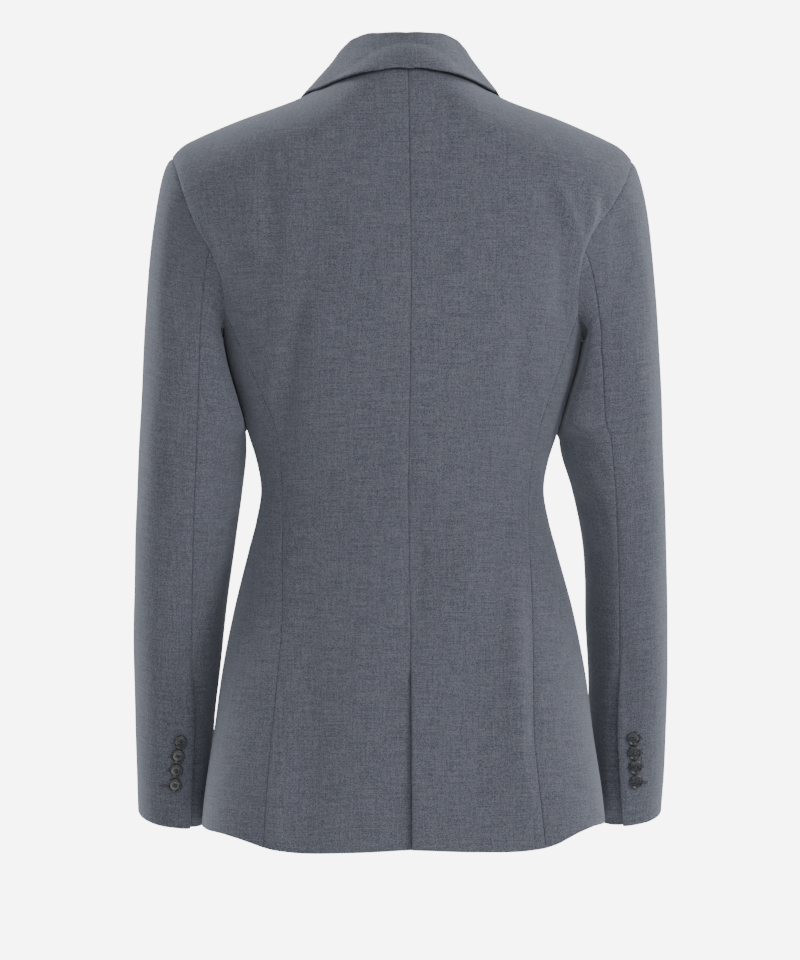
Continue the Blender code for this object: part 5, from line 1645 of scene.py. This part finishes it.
def apply_all(piece):
    """Applies all the modifiers of a piece."""
    alone(piece)
    for modifier in [m.name for m in piece.modifiers]:
        bpy.ops.object.modifier_apply(modifier=modifier)


def stepped_disc(name, radius):
    """A disc stepped up ring by ring along the outline."""
    reach, height = BUTTON_OUTLINE["reach"], BUTTON_OUTLINE["height"]
    bpy.ops.object.select_all(action="DESELECT")
    bpy.ops.mesh.primitive_circle_add(
        vertices=72, radius=radius * reach[0], fill_type="NGON", location=(0, 0, 0))
    button = bpy.context.object
    button.name = button.data.name = name
    bpy.ops.object.mode_set(mode="EDIT")
    bpy.ops.mesh.select_all(action="SELECT")
    for i in range(1, len(reach)):
        rise = radius * (height[i] - height[i - 1])
        bpy.ops.mesh.extrude_region_move(TRANSFORM_OT_translate={"value": (0, 0, rise)})
        wider = reach[i] / reach[i - 1]
        bpy.ops.transform.resize(value=(wider, wider, 1))
    bpy.ops.mesh.select_all(action="SELECT")
    bpy.ops.mesh.normals_make_consistent(inside=False)
    bpy.ops.object.mode_set(mode="OBJECT")
    return button


def turned_button(name, across):
    """A button with its four holes drilled and its edges softened."""
    radius = across / 2
    button = stepped_disc(name, radius)
    drills = []
    for i in range(4):
        angle = math.radians(45 + 90 * i)
        bpy.ops.object.select_all(action="DESELECT")
        bpy.ops.mesh.primitive_cylinder_add(
            vertices=24, radius=radius * HOLE_RADIUS, depth=across,
            location=(math.cos(angle) * radius * HOLE_OUT, math.sin(angle) * radius * HOLE_OUT, 0))
        drills.append(bpy.context.object)
        cut = button.modifiers.new("thread hole", "BOOLEAN")
        cut.object, cut.operation, cut.solver = drills[-1], "DIFFERENCE", "EXACT"
    apply_all(button)
    for drill in drills:
        bpy.data.objects.remove(drill)
    soften = button.modifiers.new("soft edges", "BEVEL")
    soften.width, soften.segments = 0.00006, 2
    soften.limit_method, soften.angle_limit = "ANGLE", math.radians(60)
    apply_all(button)
    bpy.ops.object.shade_smooth_by_angle(angle=math.radians(40))
    return button


# %% [markdown]
# ## Button thread
#
# A cuff button is held by thread wound a few times through each pair of holes, crossing in the dish.
# Each strand is a short curve with a round section, which is the quickest way to make a bent tube. It
# is then made a mesh, so that it can be joined to its button.

# %% Thread wound through the holes
STRANDS = (-1, 0, 1)
STRAND = 0.026          # half as thick as a strand, in button radii
FACE = BUTTON_OUTLINE["height"][-1]


def strand(radius, legs, crown, aside):
    """One strand through a pair of holes and over the dish, as a curve along x."""
    hole, face = radius * HOLE_OUT, radius * FACE
    curve = bpy.data.curves.new("thread", "CURVE")
    curve.dimensions, curve.use_fill_caps = "3D", True
    curve.bevel_depth, curve.bevel_resolution, curve.resolution_u = radius * STRAND, 1, 4
    path = curve.splines.new("NURBS")
    path.points.add(5)
    stops = ((1.0, -legs), (1.0, face), (0.75, crown), (-0.75, crown), (-1.0, face), (-1.0, -legs))
    for point, (out, height) in zip(path.points, stops):
        point.co = (hole * out, radius * STRAND * 1.9 * aside * (0.85 + 0.15 * abs(out)), height, 1)
    path.order_u, path.use_endpoint_u = 3, True
    return curve


def wound_thread(across, legs):
    """A button's thread as one mesh: two crossing bars, each of a few strands."""
    radius = across / 2
    strands = []
    for bar in range(2):
        crown = radius * FACE + radius * (0.070 + 0.055 * bar)
        for aside in STRANDS:
            strands.append(bpy.data.objects.new("thread", strand(radius, legs, crown, aside)))
            bpy.context.scene.collection.objects.link(strands[-1])
            strands[-1].rotation_euler = (0, 0, math.radians(45 + 90 * bar))
    bpy.ops.object.select_all(action="DESELECT")
    for made in strands:
        made.select_set(True)
    bpy.context.view_layer.objects.active = strands[0]
    bpy.ops.object.convert(target="MESH")
    bpy.ops.object.transform_apply(location=True, rotation=True, scale=True)
    bpy.ops.object.join()
    bpy.ops.object.shade_smooth()
    return bpy.context.object


# %% [markdown]
# ## Horn and twist
#
# Dark horn is a deep grey with paler streaks that run one way, under a polish that shows small sharp
# highlights. The streaks are one noise stretched along the button, mixed by a colour ramp. Sewing
# twist is matt, and its ply shows as a fine slanting stripe.

# %% Horn and twist materials
HORN_DEEP, HORN_PALE = (0.010, 0.012, 0.016), (0.038, 0.042, 0.052)
TWIST_DARK, TWIST_LIGHT = (0.022, 0.025, 0.031), (0.085, 0.092, 0.106)


def streaked(name, scale, stretch, dark, light, detail=3.0, clear=(0.40, 0.66)):
    """A material with a stretched noise between two colours, and its nodes for what is done next."""
    looks = bpy.data.materials.new(name)
    looks.use_nodes = True
    tree = looks.node_tree
    place = tree.nodes.new("ShaderNodeTexCoord")
    mapping = tree.nodes.new("ShaderNodeMapping")
    mapping.inputs["Rotation"].default_value = (0.5, 0.3, 0.7)
    mapping.inputs["Scale"].default_value = stretch
    noise = tree.nodes.new("ShaderNodeTexNoise")
    noise.inputs["Scale"].default_value = scale
    noise.inputs["Detail"].default_value = detail
    ramp = tree.nodes.new("ShaderNodeValToRGB")
    ramp.color_ramp.elements[0].position, ramp.color_ramp.elements[1].position = clear
    ramp.color_ramp.elements[0].color, ramp.color_ramp.elements[1].color = (*dark, 1), (*light, 1)
    shader = tree.nodes["Principled BSDF"]
    tree.links.new(place.outputs["Object"], mapping.inputs["Vector"])
    tree.links.new(mapping.outputs["Vector"], noise.inputs["Vector"])
    tree.links.new(noise.outputs["Fac"], ramp.inputs["Fac"])
    tree.links.new(ramp.outputs["Color"], shader.inputs["Base Color"])
    return looks, tree, shader, noise


def dark_horn(name):
    """Polished dark horn, a little duller along its streaks."""
    looks, tree, shader, noise = streaked(name, 150.0, (1.0, 1.0, 4.0), HORN_DEEP, HORN_PALE)
    rough = tree.nodes.new("ShaderNodeMapRange")
    rough.inputs["To Min"].default_value, rough.inputs["To Max"].default_value = 0.20, 0.34
    tree.links.new(noise.outputs["Fac"], rough.inputs["Value"])
    tree.links.new(rough.outputs["Result"], shader.inputs["Roughness"])
    scratch = tree.nodes.new("ShaderNodeBump")
    scratch.inputs["Strength"].default_value, scratch.inputs["Distance"].default_value = 0.12, 0.0001
    tree.links.new(noise.outputs["Fac"], scratch.inputs["Height"])
    tree.links.new(scratch.outputs["Normal"], shader.inputs["Normal"])
    shader.inputs["Coat Weight"].default_value = 0.7
    shader.inputs["Coat Roughness"].default_value = 0.12
    return looks


def sewing_twist(name):
    """Matt dark twist with its slanting ply."""
    looks, tree, shader, noise = streaked(
        name, 2600.0, (1.0, 1.0, 0.3), TWIST_DARK, TWIST_LIGHT, 1.0, (0.35, 0.70))
    ply = tree.nodes.new("ShaderNodeBump")
    ply.inputs["Strength"].default_value, ply.inputs["Distance"].default_value = 0.5, 0.0001
    tree.links.new(noise.outputs["Fac"], ply.inputs["Height"])
    tree.links.new(ply.outputs["Normal"], shader.inputs["Normal"])
    shader.inputs["Roughness"].default_value = 0.75
    shader.inputs["Sheen Weight"].default_value = 0.25
    return looks


cuff_horn = dark_horn("dark horn cuff")
front_horn = dark_horn("dark horn front")
twist = sewing_twist("sewing twist")
print("horn from", HORN_DEEP, "to", HORN_PALE)

# %% Two masters, each a button with its thread
def whole_button(name, across, legs, horn):
    """A finished button with its thread, joined to one mesh with two materials."""
    button, thread = turned_button(name, across), wound_thread(across, legs)
    button.data.materials.append(horn)
    thread.data.materials.append(twist)
    alone(button)
    thread.select_set(True)
    bpy.ops.object.join()
    print(name, len(button.data.polygons), "faces, materials", [m.name for m in button.data.materials])
    return button


cuff_master = whole_button("cuff button master", CUFF_BUTTON, 0.0004, cuff_horn)
front_master = whole_button("front button master", FRONT_BUTTON, 0.0014, front_horn)

# %% [markdown]
# ## Seating the buttons
#
# A button lies flat on the cloth below it, so its place and tilt come from the cloth: we ask the
# finished sleeve for its nearest point to the solid button, and turn a copy of the master to that
# point's normal. The buttons of a cuff are sewn on by hand, each turned a little differently.

# %% Seat a copy on the cloth
BUTTON_TURNS = (0.25, 0.95, 0.55, 1.30)         # how each cuff button is turned, in radians
CUFF_SHANK, FRONT_SHANK = 0.0003, 0.0012        # thread between the cloth and the button


def cloth_below(cloth, place):
    """The cloth's nearest point to a place, and the way out of the cloth there."""
    _, spot, normal, _ = cloth.closest_point_on_mesh(Vector(place))
    return np.array(spot), np.array(normal)


def seat_button(node, master, cloth, turn, shank):
    """A copy of a master on the cloth under a solid button, with its spot and the level way there."""
    low, high = (np.array(corner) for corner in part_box(node))
    spot, out = cloth_below(cloth, (low + high) / 2)
    level = unit(np.cross([0, 0, 1.0], out))
    upright = np.cross(out, level)
    button = master.copy()
    button.data = master.data.copy()
    button.name = button.data.name = node + "_turned"
    bpy.context.scene.collection.objects.link(button)
    frame_of = Matrix([(*row, 0) for row in np.stack([level, upright, out], 1)] + [(0, 0, 0, 1)])
    button.matrix_world = Matrix.Translation(spot + out * shank) @ frame_of @ Matrix.Rotation(turn, 4, "Z")
    alone(button)
    bpy.ops.object.transform_apply(location=True, rotation=True, scale=True)
    return button, spot, level


bpy.context.view_layer.update()
seats = {}
for hand, _ in HANDS:
    for i, turn in enumerate(BUTTON_TURNS, start=1):
        node = f"cuff_button_{hand}_{i}"
        seats[node] = seat_button(node, cuff_master, pieces[f"top_sleeve_{hand}"], turn, CUFF_SHANK)
seats["front_button"] = seat_button("front_button", front_master, pieces["front_right"], 0.2, FRONT_SHANK)
for master in (cuff_master, front_master):
    bpy.data.objects.remove(master)
print("seated", len(seats), "buttons")

# %% [markdown]
# ## Buttonholes
#
# A tailor works a buttonhole in close stitches over its cut edge. The ones on the cuff are only sewn,
# not cut, and most of each is under its button, so only some ends show. One stitch is modelled and laid
# again and again along both edges, each on the cloth below it.

# %% One stitch
STITCH = (0.00046, 0.00120, 0.00040)            # along the edge, across it and high

bpy.ops.object.select_all(action="DESELECT")
bpy.ops.mesh.primitive_uv_sphere_add(segments=8, ring_count=5, radius=0.5, location=(0, 0, 0))
stitch = bpy.context.object
bpy.ops.object.mode_set(mode="EDIT")
bpy.ops.mesh.select_all(action="SELECT")
bpy.ops.transform.resize(value=STITCH)
bpy.ops.object.mode_set(mode="OBJECT")
stitch_points = np.array([v.co[:] for v in stitch.data.vertices])
stitch_faces = [list(p.vertices) for p in stitch.data.polygons]
bpy.data.objects.remove(stitch)
print("stitch", len(stitch_faces), "faces")

# %% Stitches along both edges of a buttonhole
STITCH_PITCH, HOLE_HALF = 0.00050, 0.00075
STITCH_RISE = 0.00012                           # a stitch's middle off the cloth
# Where each buttonhole starts and ends, in millimetres from its button's middle to the sleeve's outer
# side, and how far its end drops.
CUFF_HOLES = table(
    "at start left right drop",
    (1, 1.0, 14.5, 8.5, -1.2),
    (2, 1.0, 8.6, 8.3, -0.6),
    (3, 1.0, 8.8, 9.0, 0.3),
    (4, 1.0, 15.5, 12.5, -1.4),
)
FRONT_HOLE = (-3.0, 20.0)


def stitch_places(start, end):
    """Every stitch as its place along the buttonhole, its place aside and its turn in degrees."""
    count = int(round((end - start) / STITCH_PITCH))
    edges = [
        (start + STITCH_PITCH * (i + 0.5), side * HOLE_HALF, 0.0)
        for i in range(count) for side in (-1, 1)
    ]
    bar = [(end + 0.0001, side * 0.0005, 90.0) for side in (-1, 0, 1)]
    return edges + bar


def worked_buttonhole(name, cloth, spot, outwards, start, end, drop=0.0):
    """Stitches on both edges of a line on the cloth, from a spot outwards, with a bar at its end."""
    run = unit(np.array(outwards, float))
    fall = unit(np.array([0, 0, 1.0]) - run * run[2])
    points, faces = [], []
    for along_it, aside, turned in stitch_places(start, end):
        part = (along_it - start) / (end - start)
        below, out = cloth_below(cloth, spot + run * along_it + fall * (aside + drop * part))
        flat = unit(run - out * (run @ out))
        cross = np.cross(out, flat)
        c, s = math.cos(math.radians(turned)), math.sin(math.radians(turned))
        axes = np.stack([flat * c + cross * s, cross * c - flat * s, out])
        faces += [[corner + len(points) * len(stitch_points) for corner in face] for face in stitch_faces]
        points.append(stitch_points @ axes + below + out * STITCH_RISE)
    mesh = bpy.data.meshes.new(name)
    mesh.from_pydata(np.concatenate(points).tolist(), [], faces)
    mesh.materials.append(twist)
    piece = bpy.data.objects.new(name, mesh)
    bpy.context.scene.collection.objects.link(piece)
    alone(piece)
    bpy.ops.object.shade_smooth()
    return piece


buttonholes = []
for hand, mirror in HANDS:
    for i in range(4):
        _, spot, level = seats[f"cuff_button_{hand}_{i + 1}"]
        start, end, drop = (CUFF_HOLES[column][i] / 1000 for column in ("start", hand, "drop"))
        outwards = level * np.sign(level[0]) * mirror
        buttonholes.append(worked_buttonhole(
            f"buttonhole_{hand}_{i + 1}", pieces[f"top_sleeve_{hand}"], spot, outwards, start, end, drop))
_, spot, level = seats["front_button"]
start, end = (place / 1000 for place in FRONT_HOLE)
buttonholes.append(worked_buttonhole(
    "buttonhole_front", pieces["front_right"], spot, level * -np.sign(level[0]), start, end))
print("worked", len(buttonholes), "buttonholes")

# %% [markdown]
# ## What each piece stands for
#
# Each cloth piece replaces its solid, which is hidden, and rides on the one body. Its area and how far
# it reaches across and up its threads are printed.

# %% Replace the solids
def area_of(piece):
    """Area of one face of the cloth, in square metres."""
    return sum(p.area for p in piece.data.polygons) / 2


def reach_of(piece):
    """How far the cloth reaches across and up its threads."""
    threads = np.empty(len(piece.data.loops) * 2)
    piece.data.uv_layers.active.data.foreach_get("uv", threads)
    return np.ptp(threads.reshape(-1, 2), axis=0)


for node, piece in pieces.items():
    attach(piece, "root")
    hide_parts(node)
    print(node, "area", round(area_of(piece), 4), "across and up", np.round(reach_of(piece), 3))
for node, (button, *_) in seats.items():
    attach(button, "root")
    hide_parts(node)
for piece in buttonholes:
    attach(piece, "root")
